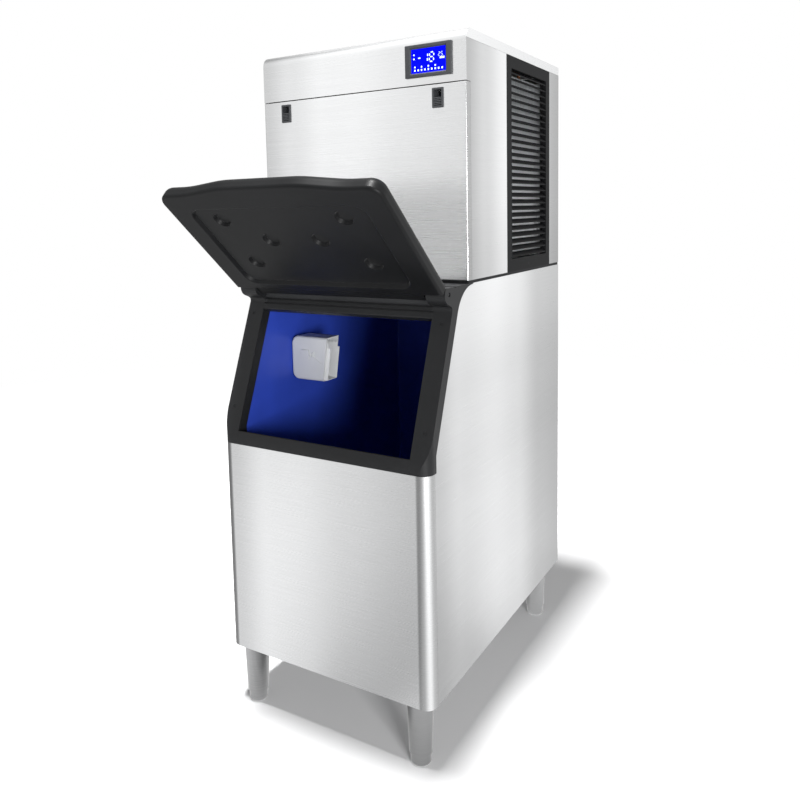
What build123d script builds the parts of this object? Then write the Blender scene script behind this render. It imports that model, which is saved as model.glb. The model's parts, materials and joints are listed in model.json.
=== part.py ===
from build123d import *
import os
from math import atan2, cos, radians, sin, tan

os.makedirs("parts", exist_ok=True)

# A modular cube ice machine: an ice making head on an insulated storage bin, on four levelling legs.
# Millimetres. X to the right, Y to the back, Z up, the floor at Z = 0.

# Driving sizes of the two cabinets
WIDTH = 560.0
BIN_DEPTH = 830.0
HEAD_DEPTH = 625.0
LEG_SPACE = 149.0
BIN_HEIGHT = 895.6
GASKET_HEIGHT = 6.9
HEAD_HEIGHT = 550.5
SHEET = 1.2
SEAM = 0.4
FIT = 0.3

# Door, its hinge and the sloping frame
SLOPE = 21.4
OPEN_ANGLE = 41.5
PIVOT_BEHIND_FRONT = 109.0
PIVOT_BELOW_TOP = 14.6
PIVOT_TO_FRAME = 26.0
DOOR_GAP = 3.0
DOOR_THICKNESS = 37.0
DOOR_START = 24.0
DOOR_LENGTH = 336.0
DOOR_CORNER = 30.0
GRIP_REACH = 15.0
OUTER_ROUND = 20.0
INNER_ROUND = 7.0
GRIP_HALF = 100.0
GRIP_BLEND = 100.0
PANEL_SIDE = 56.0
PANEL_START = 48.0
PANEL_LENGTH = 266.0
PANEL_DEPTH = 8.0
PANEL_CORNER = 30.0
PANEL_EDGE = 3.0
DIMPLE_RADIUS = 21.0
DIMPLE_DEPTH = 8.0
DIMPLES = [(-158.0, 270.0), (158.0, 270.0), (-65.0, 202.0), (65.0, 202.0), (-157.0, 124.0), (157.0, 124.0)]
BARREL_RADIUS = 14.0
EAR_RADIUS = 22.0
EAR_GAP = 6.0
PIN_RADIUS = 5.0
PIN_IN_BARREL = 26.0
RUNNING = 0.06

# Frame round the mouth
JAMB_WIDTH = 46.0
SIDE_STRIP = 27.0
FOOT_STRIP = 36.6
FRAME_BELOW_TOP = 381.6
MOUTH_LOW_BELOW_TOP = 349.6
MOUTH_HIGH_BELOW_TOP = 69.1
FRAME_TAIL = 2.0
FRAME_SWEEP = 88.0
FRAME_KNEE = 80.0
EAR_FILLET = 10.0
RAIL_STEP = 3.5
RAIL_STEP_WIDTH = 4.0
RAIL_STEPS_ABOVE_LIP = (14.5, 25.5)
LIP_ROUND = 3.0
CORNER_RADIUS = 27.0
PLUG_SCREW_RADIUS = 4.5
JAMB_SCREW_INSET = 20.0
SCREW_WELL = 2.0

# Liner and insulation
LINER_WALL = 3.0
LINER_SIDE = 44.0
LINER_FRONT = 40.0
LINER_BACK = 45.0
LINER_FLOOR = 56.0
LINER_CORNER = 6.0
LINER_FOOT = 3.5
ROOF_BEHIND_PIVOT = 131.0
WASTE_FROM_BACK = 60.0
WASTE_FLANGE = 2.5
WASTE_RIM = 9.0
ELBOW_PROUD = 1.5
NUT_PROUD = 6.0
DRAIN_HOLE = 18.0
FLANGE = 14.0
RETURN = 20.0

# Legs and feet
LEG_INSET_X = 49.3
LEG_INSET_FRONT = 39.0
LEG_INSET_BACK = 62.5
LEG_TOP_RADIUS = 30.0
LEG_LOW_RADIUS = 26.0
LEG_WALL = 2.0
LEG_LOW = 27.0
FOOT_RADIUS = 23.0
FOOT_ROUND = 5.0
STUD_RADIUS = 6.0
STUD_LENGTH = 52.0
STUD_GAP = 0.15
NUT_HEIGHT = 12.0

# Head cabinet
BAND_HEIGHT = 113.3
TRIM_HEIGHT = 22.0
TOP_ROUND = 25.0
PAN_DEPTH = 21.0
PAN_BELOW_BAND = 1.7
GRILLE_FRONT = 393.0
GRILLE_BACK = 79.0
GRILLE_SHEET = 3.0
WINDOW_FRONT = 360.0
WINDOW_BACK = 107.0
WINDOW_LOW = 31.5
WINDOW_BELOW_TOP = 51.5
SLOTS = 28
SLAT_THICKNESS = 1.8
SLAT_DEPTH = 11.0
SLAT_DROP = 9.5
SLAT_LIP = 2.6
SLAT_ABOVE_PITCH = 4.4
SLAT_SUNK = 1.0
GRILLE_RIM = 8.0
DISPLAY_FROM_SIDE = 91.0
DISPLAY_BELOW_TOP = 61.0
BEZEL_WIDTH = 116.0
BEZEL_HEIGHT = 72.0
BEZEL_PROUD = 5.0
SCREEN_WIDTH = 86.0
SCREEN_HEIGHT = 53.0
LATCH_FROM_SIDE = 69.0
LATCH_BELOW_BAND = 31.7
LATCH_WIDTH = 28.0
LATCH_HEIGHT = 44.0
LATCH_PROUD = 2.6
LATCH_DEPTH = 14.0
SLIDER_HEIGHT = 19.0
LATCH_CORNER = 2.0
LATCH_CHAMFER = 0.8
LATCH_BACK_WALL = 2.0
TONGUE_HALF = 3.0
TONGUE_REACH = 9.0
TONGUE_Z = (4.0, 14.0)
SLIDER_RIBS = 5
RIB_PITCH = 3.6
SLIDER_TRAVEL = 12.0

# Fittings through the back
REAR_REACH = 19.0
THREAD_RADIUS = 13.2
PIPE_BORE = 9.0
FITTING_HEX = 6.0
DRAIN_RISE = 31.0

# Worked out from the driving sizes
HALF = WIDTH / 2
INNER = HALF - SHEET
PANEL_HALF = HALF - PANEL_SIDE
LINER_HALF = HALF - LINER_SIDE
DISPLAY_X = HALF - DISPLAY_FROM_SIDE
LATCH_X = HALF - LATCH_FROM_SIDE
BIN_BOTTOM = LEG_SPACE
BIN_TOP = BIN_BOTTOM + BIN_HEIGHT
HEAD_BOTTOM = BIN_TOP + GASKET_HEIGHT
HEIGHT = HEAD_BOTTOM + HEAD_HEIGHT
FRAME_START = BIN_HEIGHT - FRAME_BELOW_TOP
MOUTH_LOW = BIN_HEIGHT - MOUTH_LOW_BELOW_TOP
MOUTH_HIGH = BIN_HEIGHT - MOUTH_HIGH_BELOW_TOP
FRAME_BOTTOM = BIN_BOTTOM + FRAME_START
WINDOW_HIGH = HEAD_HEIGHT - WINDOW_BELOW_TOP
DOOR_IN = PIVOT_TO_FRAME - DOOR_GAP
DOOR_OUT = DOOR_THICKNESS - DOOR_IN
DOOR_END = DOOR_START + DOOR_LENGTH
GRIP_END = DOOR_END + GRIP_REACH

# The origin is under the middle of the open machine, so the back lies half of the whole depth behind it
OPEN_COS = cos(radians(OPEN_ANGLE))
OPEN_SIN = sin(radians(OPEN_ANGLE))
DOOR_FORWARD = (GRIP_END - INNER_ROUND) * OPEN_COS + (DOOR_IN - INNER_ROUND) * OPEN_SIN + INNER_ROUND
WHOLE_DEPTH = REAR_REACH + BIN_DEPTH - PIVOT_BEHIND_FRONT + DOOR_FORWARD
BACK_Y = WHOLE_DEPTH / 2 - REAR_REACH
BIN_FRONT_Y = BACK_Y - BIN_DEPTH
HEAD_FRONT_Y = BACK_Y - HEAD_DEPTH
PIVOT_Y = BIN_FRONT_Y + PIVOT_BEHIND_FRONT
PIVOT_Z = BIN_TOP - PIVOT_BELOW_TOP
SLOPE_COS = cos(radians(SLOPE))
SLOPE_SIN = sin(radians(SLOPE))
JAMB_INNER = HALF - JAMB_WIDTH
DRAIN_Z = BIN_BOTTOM + DRAIN_RISE
WASTE_RADIUS = THREAD_RADIUS - 1.0
SIDE_SEAM_Y = BIN_FRONT_Y + CORNER_RADIUS + 2.6


def at_x(x):
    """Sketch plane across X: sketch x is Y, sketch y is Z, and a positive extrude goes to +X."""
    return Plane.YZ.offset(x)


def at_y(y):
    """Sketch plane facing the front: sketch x is X, sketch y is Z, and a positive extrude goes forward."""
    return Plane.XZ.offset(-y)


def at_z(z):
    """Level sketch plane: a positive extrude goes up."""
    return Plane.XY.offset(z)


def keep(piece, name):
    """Labels a finished piece and writes it."""
    piece.part.label = name
    export_step(piece.part, f"parts/{name}.step")


def slab(low, high, mode=Mode.ADD):
    """A block between two corners, for the part that is being built."""
    middle = tuple((a + b) / 2 for a, b in zip(low, high))
    with Locations(middle):
        Box(high[0] - low[0], high[1] - low[1], high[2] - low[2], mode=mode)


def slope_y(depth, z):
    """Y at height z on the plane that lies depth behind the frame's sloping front."""
    return PIVOT_Y + (PIVOT_TO_FRAME + depth + (z - PIVOT_Z) * SLOPE_SIN) / SLOPE_COS


def slope_z(depth, y):
    """Height at y on the plane that lies depth behind the frame's sloping front."""
    return PIVOT_Z + ((y - PIVOT_Y) * SLOPE_COS - PIVOT_TO_FRAME - depth) / SLOPE_SIN


def lip_point(z, depth):
    """A point depth behind the sloping front, square to it from the front point at height z."""
    return (slope_y(0, z) + depth * SLOPE_COS, z - depth * SLOPE_SIN)


def frame_zone(gap):
    """Everything ahead of the frame's back edge, grown by a gap, as a side view."""
    sweep = FRAME_SWEEP - gap
    centre_z = BIN_TOP - FRAME_TAIL - FRAME_SWEEP
    centre_y = PIVOT_Y + (
        PIVOT_TO_FRAME + SIDE_STRIP + FRAME_SWEEP + (centre_z - PIVOT_Z) * SLOPE_SIN
    ) / SLOPE_COS
    foot_y = BIN_FRONT_Y + FOOT_STRIP + gap
    half_turn = radians((90 - SLOPE) / 2 + SLOPE)
    start = (centre_y - sweep * SLOPE_COS, centre_z + sweep * SLOPE_SIN)
    middle = (centre_y - sweep * cos(half_turn), centre_z + sweep * sin(half_turn))
    end = (centre_y, centre_z + sweep)
    ahead = BIN_FRONT_Y - JAMB_WIDTH
    above = BIN_TOP + JAMB_WIDTH
    tail = [end, (centre_y + gap, end[1])] if gap > 0 else [end]
    with BuildSketch() as zone:
        with BuildLine():
            Polyline(
                *tail,
                (centre_y + gap, above),
                (ahead, above),
                (ahead, FRAME_BOTTOM - gap),
                (foot_y, FRAME_BOTTOM - gap),
                (foot_y, slope_z(SIDE_STRIP + gap, foot_y)),
                start,
            )
            ThreePointArc(start, middle, end)
        make_face()
    return zone.sketch


def frame_band():
    """The frame's side view: the strip between its sloping front and its back edge."""
    knee_z = slope_z(0, BIN_FRONT_Y)
    tail_y = slope_y(0, BIN_TOP)
    with BuildSketch() as band:
        add(frame_zone(0))
        with BuildSketch(mode=Mode.INTERSECT):
            with BuildLine():
                Polyline(
                    (BIN_FRONT_Y, FRAME_BOTTOM),
                    (BIN_FRONT_Y, knee_z),
                    (tail_y, BIN_TOP),
                    (BACK_Y, BIN_TOP),
                    (BACK_Y, FRAME_BOTTOM),
                    close=True,
                )
            make_face()
        knee = band.vertices().sort_by_distance((BIN_FRONT_Y, knee_z))[0]
        fillet(knee, FRAME_KNEE)
    return band.sketch


def bin_plan(inset):
    """The bin's outline from above, moved in by inset, with its two rounded front corners."""
    with BuildSketch() as plan:
        with Locations((0, (BIN_FRONT_Y + BACK_Y) / 2)):
            Rectangle(WIDTH - 2 * inset, BIN_DEPTH - 2 * inset)
        fillet(plan.vertices().group_by(Axis.Y)[0], CORNER_RADIUS - inset)
    return plan.sketch


# Storage bin, outer panels

with BuildPart() as bin_front_panel:
    with BuildSketch(at_z(BIN_BOTTOM)):
        add(bin_plan(0))
        add(bin_plan(SHEET), mode=Mode.SUBTRACT)
    extrude(amount=FRAME_START - SEAM)
    with BuildSketch(at_z(BIN_BOTTOM + 1.5), at_z(FRAME_BOTTOM - SEAM - SHEET)):
        add(bin_plan(SHEET / 2))
        add(bin_plan(FLANGE), mode=Mode.SUBTRACT)
    extrude(amount=SHEET)
    slab((-WIDTH, SIDE_SEAM_Y, 0), (WIDTH, BACK_Y + 1, HEIGHT), mode=Mode.SUBTRACT)
keep(bin_front_panel, "bin_front_panel")

PANEL_BACK_Y = BACK_Y - SHEET - FIT
for side, name in ((-1, "bin_left_panel"), (1, "bin_right_panel")):
    with BuildPart() as bin_side_panel:
        with BuildSketch(at_x(INNER)):
            with BuildLine():
                Polyline(
                    (SIDE_SEAM_Y + SEAM, BIN_BOTTOM),
                    (PANEL_BACK_Y, BIN_BOTTOM),
                    (PANEL_BACK_Y, BIN_TOP),
                    (SIDE_SEAM_Y + SEAM, BIN_TOP),
                    close=True,
                )
            make_face()
            add(frame_zone(SEAM), mode=Mode.SUBTRACT)
        extrude(amount=SHEET)
        slab(
            (INNER - RETURN, PANEL_BACK_Y - SHEET, BIN_BOTTOM + 1.6),
            (INNER, PANEL_BACK_Y, BIN_TOP - LINER_WALL - FIT),
        )
        if side < 0:
            mirror(about=Plane.YZ, mode=Mode.REPLACE)
    keep(bin_side_panel, name)

with BuildPart() as bin_back_panel:
    slab((-HALF, BACK_Y - SHEET, BIN_BOTTOM), (HALF, BACK_Y, BIN_TOP))
    with Locations(at_y(BACK_Y)):
        with Locations((0, DRAIN_Z)):
            Cylinder(WASTE_RADIUS + FIT, 4 * SHEET, mode=Mode.SUBTRACT)
keep(bin_back_panel, "bin_back_panel")

BASE_SHEET = 1.5
with BuildPart() as bin_base:
    with BuildSketch(at_z(BIN_BOTTOM)):
        add(bin_plan(SHEET + FIT))
    extrude(amount=BASE_SHEET)
keep(bin_base, "bin_base")


# Liner: one moulded tub, open at the sloping mouth and up to the head

LINER_FRONT_Y = BIN_FRONT_Y + LINER_FRONT
LINER_BACK_Y = BACK_Y - LINER_BACK
LINER_FLOOR_Z = BIN_BOTTOM + LINER_FLOOR
WASTE_Y = LINER_BACK_Y - WASTE_FROM_BACK
MOUTH_DEPTH = SIDE_STRIP + FIT
LOW_LIP_Z = BIN_BOTTOM + MOUTH_LOW
HIGH_LIP_Z = BIN_BOTTOM + MOUTH_HIGH
HIGH_LIP = lip_point(HIGH_LIP_Z, MOUTH_DEPTH)
ROOF_Y = PIVOT_Y + ROOF_BEHIND_PIVOT


def liner_block(grow, past):
    """The tub's outer form, grown by its wall, or its inner form, run past the mouth and the top."""
    front_y = LINER_FRONT_Y - grow
    roof_start = (HIGH_LIP[0] + grow * SLOPE_SIN, HIGH_LIP[1] + grow * SLOPE_COS)
    if past > 0:
        lip_depth = (front_y - slope_y(0, LOW_LIP_Z)) / SLOPE_COS
        outline = [(front_y, LINER_FLOOR_Z - grow), lip_point(LOW_LIP_Z, lip_depth)]
        outline.append(lip_point(LOW_LIP_Z, SIDE_STRIP / 2))
        outline.append((roof_start[0] - past * SLOPE_COS, roof_start[1] + past * SLOPE_SIN))
    else:
        outline = [(front_y, LINER_FLOOR_Z - grow), (front_y, slope_z(MOUTH_DEPTH, front_y))]
    outline += [
        roof_start,
        (ROOF_Y - grow, BIN_TOP + past),
        (LINER_BACK_Y + grow, BIN_TOP + past),
        (LINER_BACK_Y + grow, LINER_FLOOR_Z - grow),
    ]
    with BuildPart() as block:
        with BuildSketch(at_x(-LINER_HALF - grow)):
            with BuildLine():
                Polyline(*outline, close=True)
            make_face()
        extrude(amount=2 * (LINER_HALF + grow))
        back_edges = block.edges().filter_by(Axis.Z).group_by(Axis.Y)[-1]
        fillet(back_edges, LINER_CORNER + grow)
        foot = block.faces().sort_by(Axis.Z)[0]
        fillet(foot.edges(), LINER_FOOT + grow)
    return block.part


with BuildPart() as bin_liner:
    add(liner_block(LINER_WALL, 0))
    slab(
        (-INNER + 1, ROOF_Y - LINER_WALL, BIN_TOP - LINER_WALL),
        (INNER - 1, PANEL_BACK_Y - SHEET - FIT, BIN_TOP),
    )
    add(liner_block(0, 2 * LINER_WALL), mode=Mode.SUBTRACT)
    with Locations((0, WASTE_Y, LINER_FLOOR_Z)):
        Cylinder(WASTE_RADIUS + FIT, 4 * LINER_WALL, mode=Mode.SUBTRACT)
keep(bin_liner, "bin_liner")

FOAM_GAP = 0.3
FOAM_ABOVE_BASE = 1.6
with BuildPart() as bin_insulation:
    with BuildSketch(at_z(BIN_BOTTOM + BASE_SHEET + FOAM_ABOVE_BASE)):
        add(bin_plan(SHEET + FIT))
    extrude(amount=BIN_HEIGHT - BASE_SHEET - FOAM_ABOVE_BASE - LINER_WALL - FIT)
    slab((-WIDTH, PANEL_BACK_Y - SHEET - FIT, 0), (WIDTH, BACK_Y + 1, HEIGHT), mode=Mode.SUBTRACT)
    with BuildSketch(at_x(-WIDTH)):
        add(frame_zone(SEAM + SHEET + FIT))
    extrude(amount=2 * WIDTH, mode=Mode.SUBTRACT)
    add(liner_block(LINER_WALL + FOAM_GAP, 0), mode=Mode.SUBTRACT)
    with BuildSketch(at_z(DRAIN_Z - DRAIN_HOLE - 1.0)):
        with Locations((0, WASTE_Y)):
            Circle(DRAIN_HOLE)
    extrude(amount=LINER_FLOOR_Z - DRAIN_Z + DRAIN_HOLE, mode=Mode.SUBTRACT)
    with BuildSketch(at_y(BACK_Y)):
        with Locations((0, DRAIN_Z)):
            Circle(DRAIN_HOLE - 2.0)
    extrude(amount=BACK_Y - WASTE_Y, mode=Mode.SUBTRACT)
keep(bin_insulation, "bin_insulation")

# Drain: a flanged waste through the tub's floor and a threaded tail out of the back
with BuildPart() as bin_drain:
    with Locations((0, WASTE_Y, DRAIN_Z)):
        Cylinder(WASTE_RADIUS, LINER_FLOOR_Z - DRAIN_Z, align=(Align.CENTER, Align.CENTER, Align.MIN))
        Sphere(WASTE_RADIUS + ELBOW_PROUD)
    with Locations((0, WASTE_Y, LINER_FLOOR_Z)):
        Cylinder(THREAD_RADIUS + WASTE_RIM, WASTE_FLANGE, align=(Align.CENTER, Align.CENTER, Align.MIN))
    with BuildSketch(at_y(BACK_Y)):
        with Locations((0, DRAIN_Z)):
            Circle(WASTE_RADIUS)
    extrude(amount=BACK_Y - WASTE_Y)
    with BuildSketch(at_y(BACK_Y + FITTING_HEX)):
        with Locations((0, DRAIN_Z)):
            RegularPolygon(THREAD_RADIUS + NUT_PROUD, 6)
    extrude(amount=FITTING_HEX)
    with BuildSketch(at_y(BACK_Y + REAR_REACH)):
        with Locations((0, DRAIN_Z)):
            Circle(THREAD_RADIUS)
    extrude(amount=REAR_REACH - FITTING_HEX)
    with BuildSketch(at_y(BACK_Y + REAR_REACH)):
        with Locations((0, DRAIN_Z)):
            Circle(PIPE_BORE)
    extrude(amount=BACK_Y + REAR_REACH - WASTE_Y, mode=Mode.SUBTRACT)
    with Locations((0, WASTE_Y, DRAIN_Z)):
        Cylinder(PIPE_BORE, LINER_FLOOR_Z, align=(Align.CENTER, Align.CENTER, Align.MIN), mode=Mode.SUBTRACT)
keep(bin_drain, "bin_drain")


# Door frame: two jambs with hinge ears, a bottom rail and a stepped top rail

JAMB_SCREWS_BELOW_PIVOT = (65.0, 283.0)
JAMB_SCREWS_Z = [PIVOT_Z - below for below in JAMB_SCREWS_BELOW_PIVOT]
for side, name in ((-1, "frame_left_jamb"), (1, "frame_right_jamb")):
    with BuildPart() as jamb:
        with BuildSketch(at_x(JAMB_INNER)) as jamb_side:
            add(frame_band())
            with Locations(Location((PIVOT_Y, PIVOT_Z), -SLOPE)):
                Circle(EAR_RADIUS)
                Rectangle(PIVOT_TO_FRAME + 4.0, 2 * EAR_RADIUS, align=(Align.MIN, Align.CENTER))
            with Locations((PIVOT_Y, BIN_TOP + WIDTH / 2)):
                Rectangle(WIDTH, WIDTH, mode=Mode.SUBTRACT)
            neck = (
                PIVOT_Y + PIVOT_TO_FRAME * SLOPE_COS - EAR_RADIUS * SLOPE_SIN,
                PIVOT_Z - PIVOT_TO_FRAME * SLOPE_SIN - EAR_RADIUS * SLOPE_COS,
            )
            fillet(jamb_side.vertices().sort_by_distance(neck)[0], EAR_FILLET)
        extrude(amount=JAMB_WIDTH)
        with BuildSketch(at_z(0)):
            add(bin_plan(0))
        extrude(amount=HEIGHT, mode=Mode.INTERSECT)
        with Locations(at_x(JAMB_INNER)):
            with Locations((PIVOT_Y, PIVOT_Z)):
                Cylinder(PIN_RADIUS, 3 * JAMB_WIDTH, mode=Mode.SUBTRACT)
        for screw_z in JAMB_SCREWS_Z:
            face = Plane(
                origin=(HALF - JAMB_SCREW_INSET, slope_y(0, screw_z), screw_z),
                x_dir=(1, 0, 0),
                z_dir=(0, -SLOPE_COS, SLOPE_SIN),
            )
            with Locations(face):
                Cylinder(PLUG_SCREW_RADIUS, 2 * SCREW_WELL, mode=Mode.SUBTRACT)
        if side < 0:
            mirror(about=Plane.YZ, mode=Mode.REPLACE)
    keep(jamb, name)

RAIL_HALF = JAMB_INNER - SEAM / 2
with BuildPart() as frame_bottom_rail:
    with BuildSketch(at_x(-RAIL_HALF)):
        add(frame_band())
        with BuildLine():
            low_front = lip_point(LOW_LIP_Z, -WIDTH / 2)
            low_back = lip_point(LOW_LIP_Z, WIDTH / 2)
            Polyline(low_front, low_back, (low_back[0], HEIGHT), (low_front[0], HEIGHT), close=True)
        make_face(mode=Mode.SUBTRACT)
    extrude(amount=2 * RAIL_HALF)
    lip_edges = frame_bottom_rail.edges().filter_by(Axis.X)
    fillet(lip_edges.sort_by_distance((0, slope_y(0, LOW_LIP_Z), LOW_LIP_Z))[0], LIP_ROUND)
keep(frame_bottom_rail, "frame_bottom_rail")

with BuildPart() as frame_top_rail:
    with BuildSketch(at_x(-RAIL_HALF)):
        add(frame_band())
        with BuildLine():
            high_front = lip_point(HIGH_LIP_Z, -WIDTH / 2)
            high_back = lip_point(HIGH_LIP_Z, WIDTH / 2)
            Polyline(high_front, high_back, (high_back[0], 0), (high_front[0], 0), close=True)
        make_face(mode=Mode.SUBTRACT)
    extrude(amount=2 * RAIL_HALF)
    for above_lip in RAIL_STEPS_ABOVE_LIP:
        step_z = HIGH_LIP_Z + above_lip
        groove = Plane(
            origin=(0, slope_y(0, step_z), step_z), x_dir=(1, 0, 0), z_dir=(0, -SLOPE_COS, SLOPE_SIN)
        )
        with BuildSketch(groove):
            Rectangle(2 * RAIL_HALF + 2, RAIL_STEP_WIDTH)
        extrude(amount=-RAIL_STEP, mode=Mode.SUBTRACT)
    rail_edges = frame_top_rail.edges().filter_by(Axis.X)
    fillet(rail_edges.sort_by_distance((0, slope_y(0, HIGH_LIP_Z), HIGH_LIP_Z))[0], LIP_ROUND)
keep(frame_top_rail, "frame_top_rail")


# Door: one moulding with a sunk inner panel, six moulded dimples and a grip along its free edge

PIVOT = (0, PIVOT_Y, PIVOT_Z)
door_plane = Plane(origin=PIVOT, x_dir=(1, 0, 0), z_dir=(0, -OPEN_SIN, -OPEN_COS))
BARREL_HALF = JAMB_INNER - EAR_GAP

with BuildPart() as bin_door:
    with BuildSketch(door_plane.offset(-DOOR_OUT)) as door_outline:
        with BuildLine():
            Polyline(
                (-HALF, DOOR_START),
                (-HALF, DOOR_END),
                (-GRIP_HALF - GRIP_BLEND, DOOR_END),
                (-GRIP_HALF, GRIP_END),
                (GRIP_HALF, GRIP_END),
                (GRIP_HALF + GRIP_BLEND, DOOR_END),
                (HALF, DOOR_END),
                (HALF, DOOR_START),
                close=True,
            )
        make_face()
        corners = door_outline.vertices()
        fillet(corners.filter_by(lambda v: abs(v.X) > HALF - 1 and v.Y > DOOR_END - 1), DOOR_CORNER)
        grip_ends = door_outline.vertices().filter_by(
            lambda v: abs(v.X) < GRIP_HALF + GRIP_BLEND + 1 and v.Y > DOOR_END - 1
        )
        straight = HALF - DOOR_CORNER - GRIP_HALF - GRIP_BLEND
        half_turn = atan2(GRIP_REACH, GRIP_BLEND) / 2
        fillet(grip_ends, min(3 * GRIP_BLEND, 0.95 * straight / tan(half_turn)))
    extrude(amount=DOOR_THICKNESS)
    outer_face = bin_door.faces().filter_by(door_plane).sort_by_distance(door_plane.offset(-2 * DOOR_OUT).origin)[0]
    fillet(outer_face.edges().sort_by_distance(PIVOT)[1:], OUTER_ROUND)
    inner_face = bin_door.faces().filter_by(door_plane).sort_by_distance(door_plane.offset(4 * DOOR_IN).origin)[0]
    fillet(inner_face.edges(), INNER_ROUND)
    with BuildSketch(door_plane.offset(DOOR_IN)):
        with Locations((0, PANEL_START + PANEL_LENGTH / 2)):
            RectangleRounded(2 * PANEL_HALF, PANEL_LENGTH, PANEL_CORNER)
    extrude(amount=-PANEL_DEPTH, taper=30, mode=Mode.SUBTRACT)
    rim_face = bin_door.faces().filter_by(door_plane).sort_by_distance(door_plane.offset(4 * DOOR_IN).origin)[0]
    fillet(rim_face.inner_wires()[0].edges(), PANEL_EDGE)
    with BuildSketch(door_plane.offset(DOOR_IN - PANEL_DEPTH)):
        with Locations(*DIMPLES):
            Circle(DIMPLE_RADIUS)
    extrude(amount=-DIMPLE_DEPTH, taper=24, mode=Mode.SUBTRACT)
    with BuildSketch(at_x(-BARREL_HALF)):
        with Locations(Location((PIVOT_Y, PIVOT_Z), 180 - OPEN_ANGLE)):
            Circle(BARREL_RADIUS)
            Rectangle(DOOR_START + 4.0, 2 * BARREL_RADIUS, align=(Align.MIN, Align.CENTER))
    extrude(amount=2 * BARREL_HALF)
    with Locations(at_x(-BARREL_HALF), at_x(BARREL_HALF)):
        with Locations((PIVOT_Y, PIVOT_Z)):
            Cylinder(PIN_RADIUS + RUNNING, 2 * (PIN_IN_BARREL + 4.0), mode=Mode.SUBTRACT)
keep(bin_door, "bin_door")

with BuildPart() as hinge_pins:
    with BuildSketch(at_x(BARREL_HALF - PIN_IN_BARREL)):
        with Locations((PIVOT_Y, PIVOT_Z)):
            Circle(PIN_RADIUS)
    extrude(amount=PIN_IN_BARREL + EAR_GAP + JAMB_WIDTH - 4.0)
    chamfer(hinge_pins.edges().group_by(Axis.X)[0], 1.0)
    mirror(about=Plane.YZ)
keep(hinge_pins, "hinge_pins")

# Legs: four tapered tubes with a threaded nut inside, each with a foot that screws up and down

LEG_X = HALF - LEG_INSET_X
LEG_FRONT_Y = BIN_FRONT_Y + LEG_INSET_FRONT
LEG_BACK_Y = BACK_Y - LEG_INSET_BACK
LEG_PLACES = {
    "front_left": (-LEG_X, LEG_FRONT_Y),
    "front_right": (LEG_X, LEG_FRONT_Y),
    "rear_left": (-LEG_X, LEG_BACK_Y),
    "rear_right": (LEG_X, LEG_BACK_Y),
}
LEG_PLATE = 3.0

with BuildPart() as legs:
    for leg_x, leg_y in LEG_PLACES.values():
        with BuildSketch(Plane(origin=(leg_x, leg_y, 0), x_dir=(1, 0, 0), z_dir=(0, -1, 0))):
            with BuildLine():
                Polyline(
                    (0, BIN_BOTTOM),
                    (LEG_TOP_RADIUS, BIN_BOTTOM),
                    (LEG_TOP_RADIUS, BIN_BOTTOM - LEG_PLATE - 3.0),
                    (LEG_LOW_RADIUS, LEG_LOW),
                    (LEG_LOW_RADIUS - LEG_WALL, LEG_LOW),
                    (LEG_LOW_RADIUS - LEG_WALL + 0.4, LEG_LOW + 6.0),
                    (STUD_RADIUS + STUD_GAP, LEG_LOW + 6.0),
                    (STUD_RADIUS + STUD_GAP, LEG_LOW + 6.0 + NUT_HEIGHT),
                    (LEG_LOW_RADIUS - LEG_WALL + 1.0, LEG_LOW + 6.0 + NUT_HEIGHT),
                    (LEG_TOP_RADIUS - LEG_WALL, BIN_BOTTOM - LEG_PLATE),
                    (0, BIN_BOTTOM - LEG_PLATE),
                    close=True,
                )
            make_face()
        revolve(axis=Axis((leg_x, leg_y, 0), (0, 0, 1)))
keep(legs, "legs")

for place, (leg_x, leg_y) in LEG_PLACES.items():
    leg_axis_plane = Plane(origin=(leg_x, leg_y, 0), x_dir=(1, 0, 0), z_dir=(0, -1, 0))
    with BuildPart() as foot:
        with BuildSketch(leg_axis_plane) as foot_side:
            with BuildLine():
                Polyline(
                    (0, 0),
                    (FOOT_RADIUS - FOOT_ROUND, 0),
                    (FOOT_RADIUS, FOOT_ROUND),
                    (FOOT_RADIUS, LEG_LOW - 0.8),
                    (FOOT_RADIUS - 1.5, LEG_LOW + 2.5),
                    (STUD_RADIUS, LEG_LOW + 2.5),
                    (STUD_RADIUS, LEG_LOW + STUD_LENGTH),
                    (0, LEG_LOW + STUD_LENGTH),
                    close=True,
                )
            make_face()
            rounded = foot_side.vertices().sort_by_distance((FOOT_RADIUS, FOOT_ROUND))[0]
            fillet(rounded, FOOT_ROUND)
        revolve(axis=Axis((leg_x, leg_y, 0), (0, 0, 1)))
    keep(foot, f"foot_{place}")


# Scoop and its holder on the tub's left wall

HOLDER_LENGTH = 114.0
HOLDER_HEIGHT = 114.0
HOLDER_DEPTH = 54.0
HOLDER_LEAN = 16.0
HOLDER_WALL = 3.0
HOLDER_ROUND = 20.0
HOLDER_EDGE = 7.0
HOLDER_BELOW_TOP = 266.6
HOLDER_BEHIND_FRONT = 225.0
TAB_FROM_WALL = 45.0
TAB_HEIGHT = 68.0
TAB_SIZE = 24.0
TAB_ROUND = 3.0
TAB_PROUD = 2.4
EYE_FROM_WALL = 65.0
EYE_HALF = 5.5
EYE_WALL = 2.0
FLARE_START = 73.0
FLARE_END = 98.0
FLARE_DEPTH = 1.6
SCOOP_WALL = 2.0
SCOOP_LENGTH = 124.0
SCOOP_NOTCH = 12.0
SCOOP_BELOW_RIM = 16.0
GRIP_BAR = 10.0
HOLDER_X = -LINER_HALF
HOLDER_Z = BIN_TOP - HOLDER_BELOW_TOP
HOLDER_Y = BIN_FRONT_Y + HOLDER_BEHIND_FRONT


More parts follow.
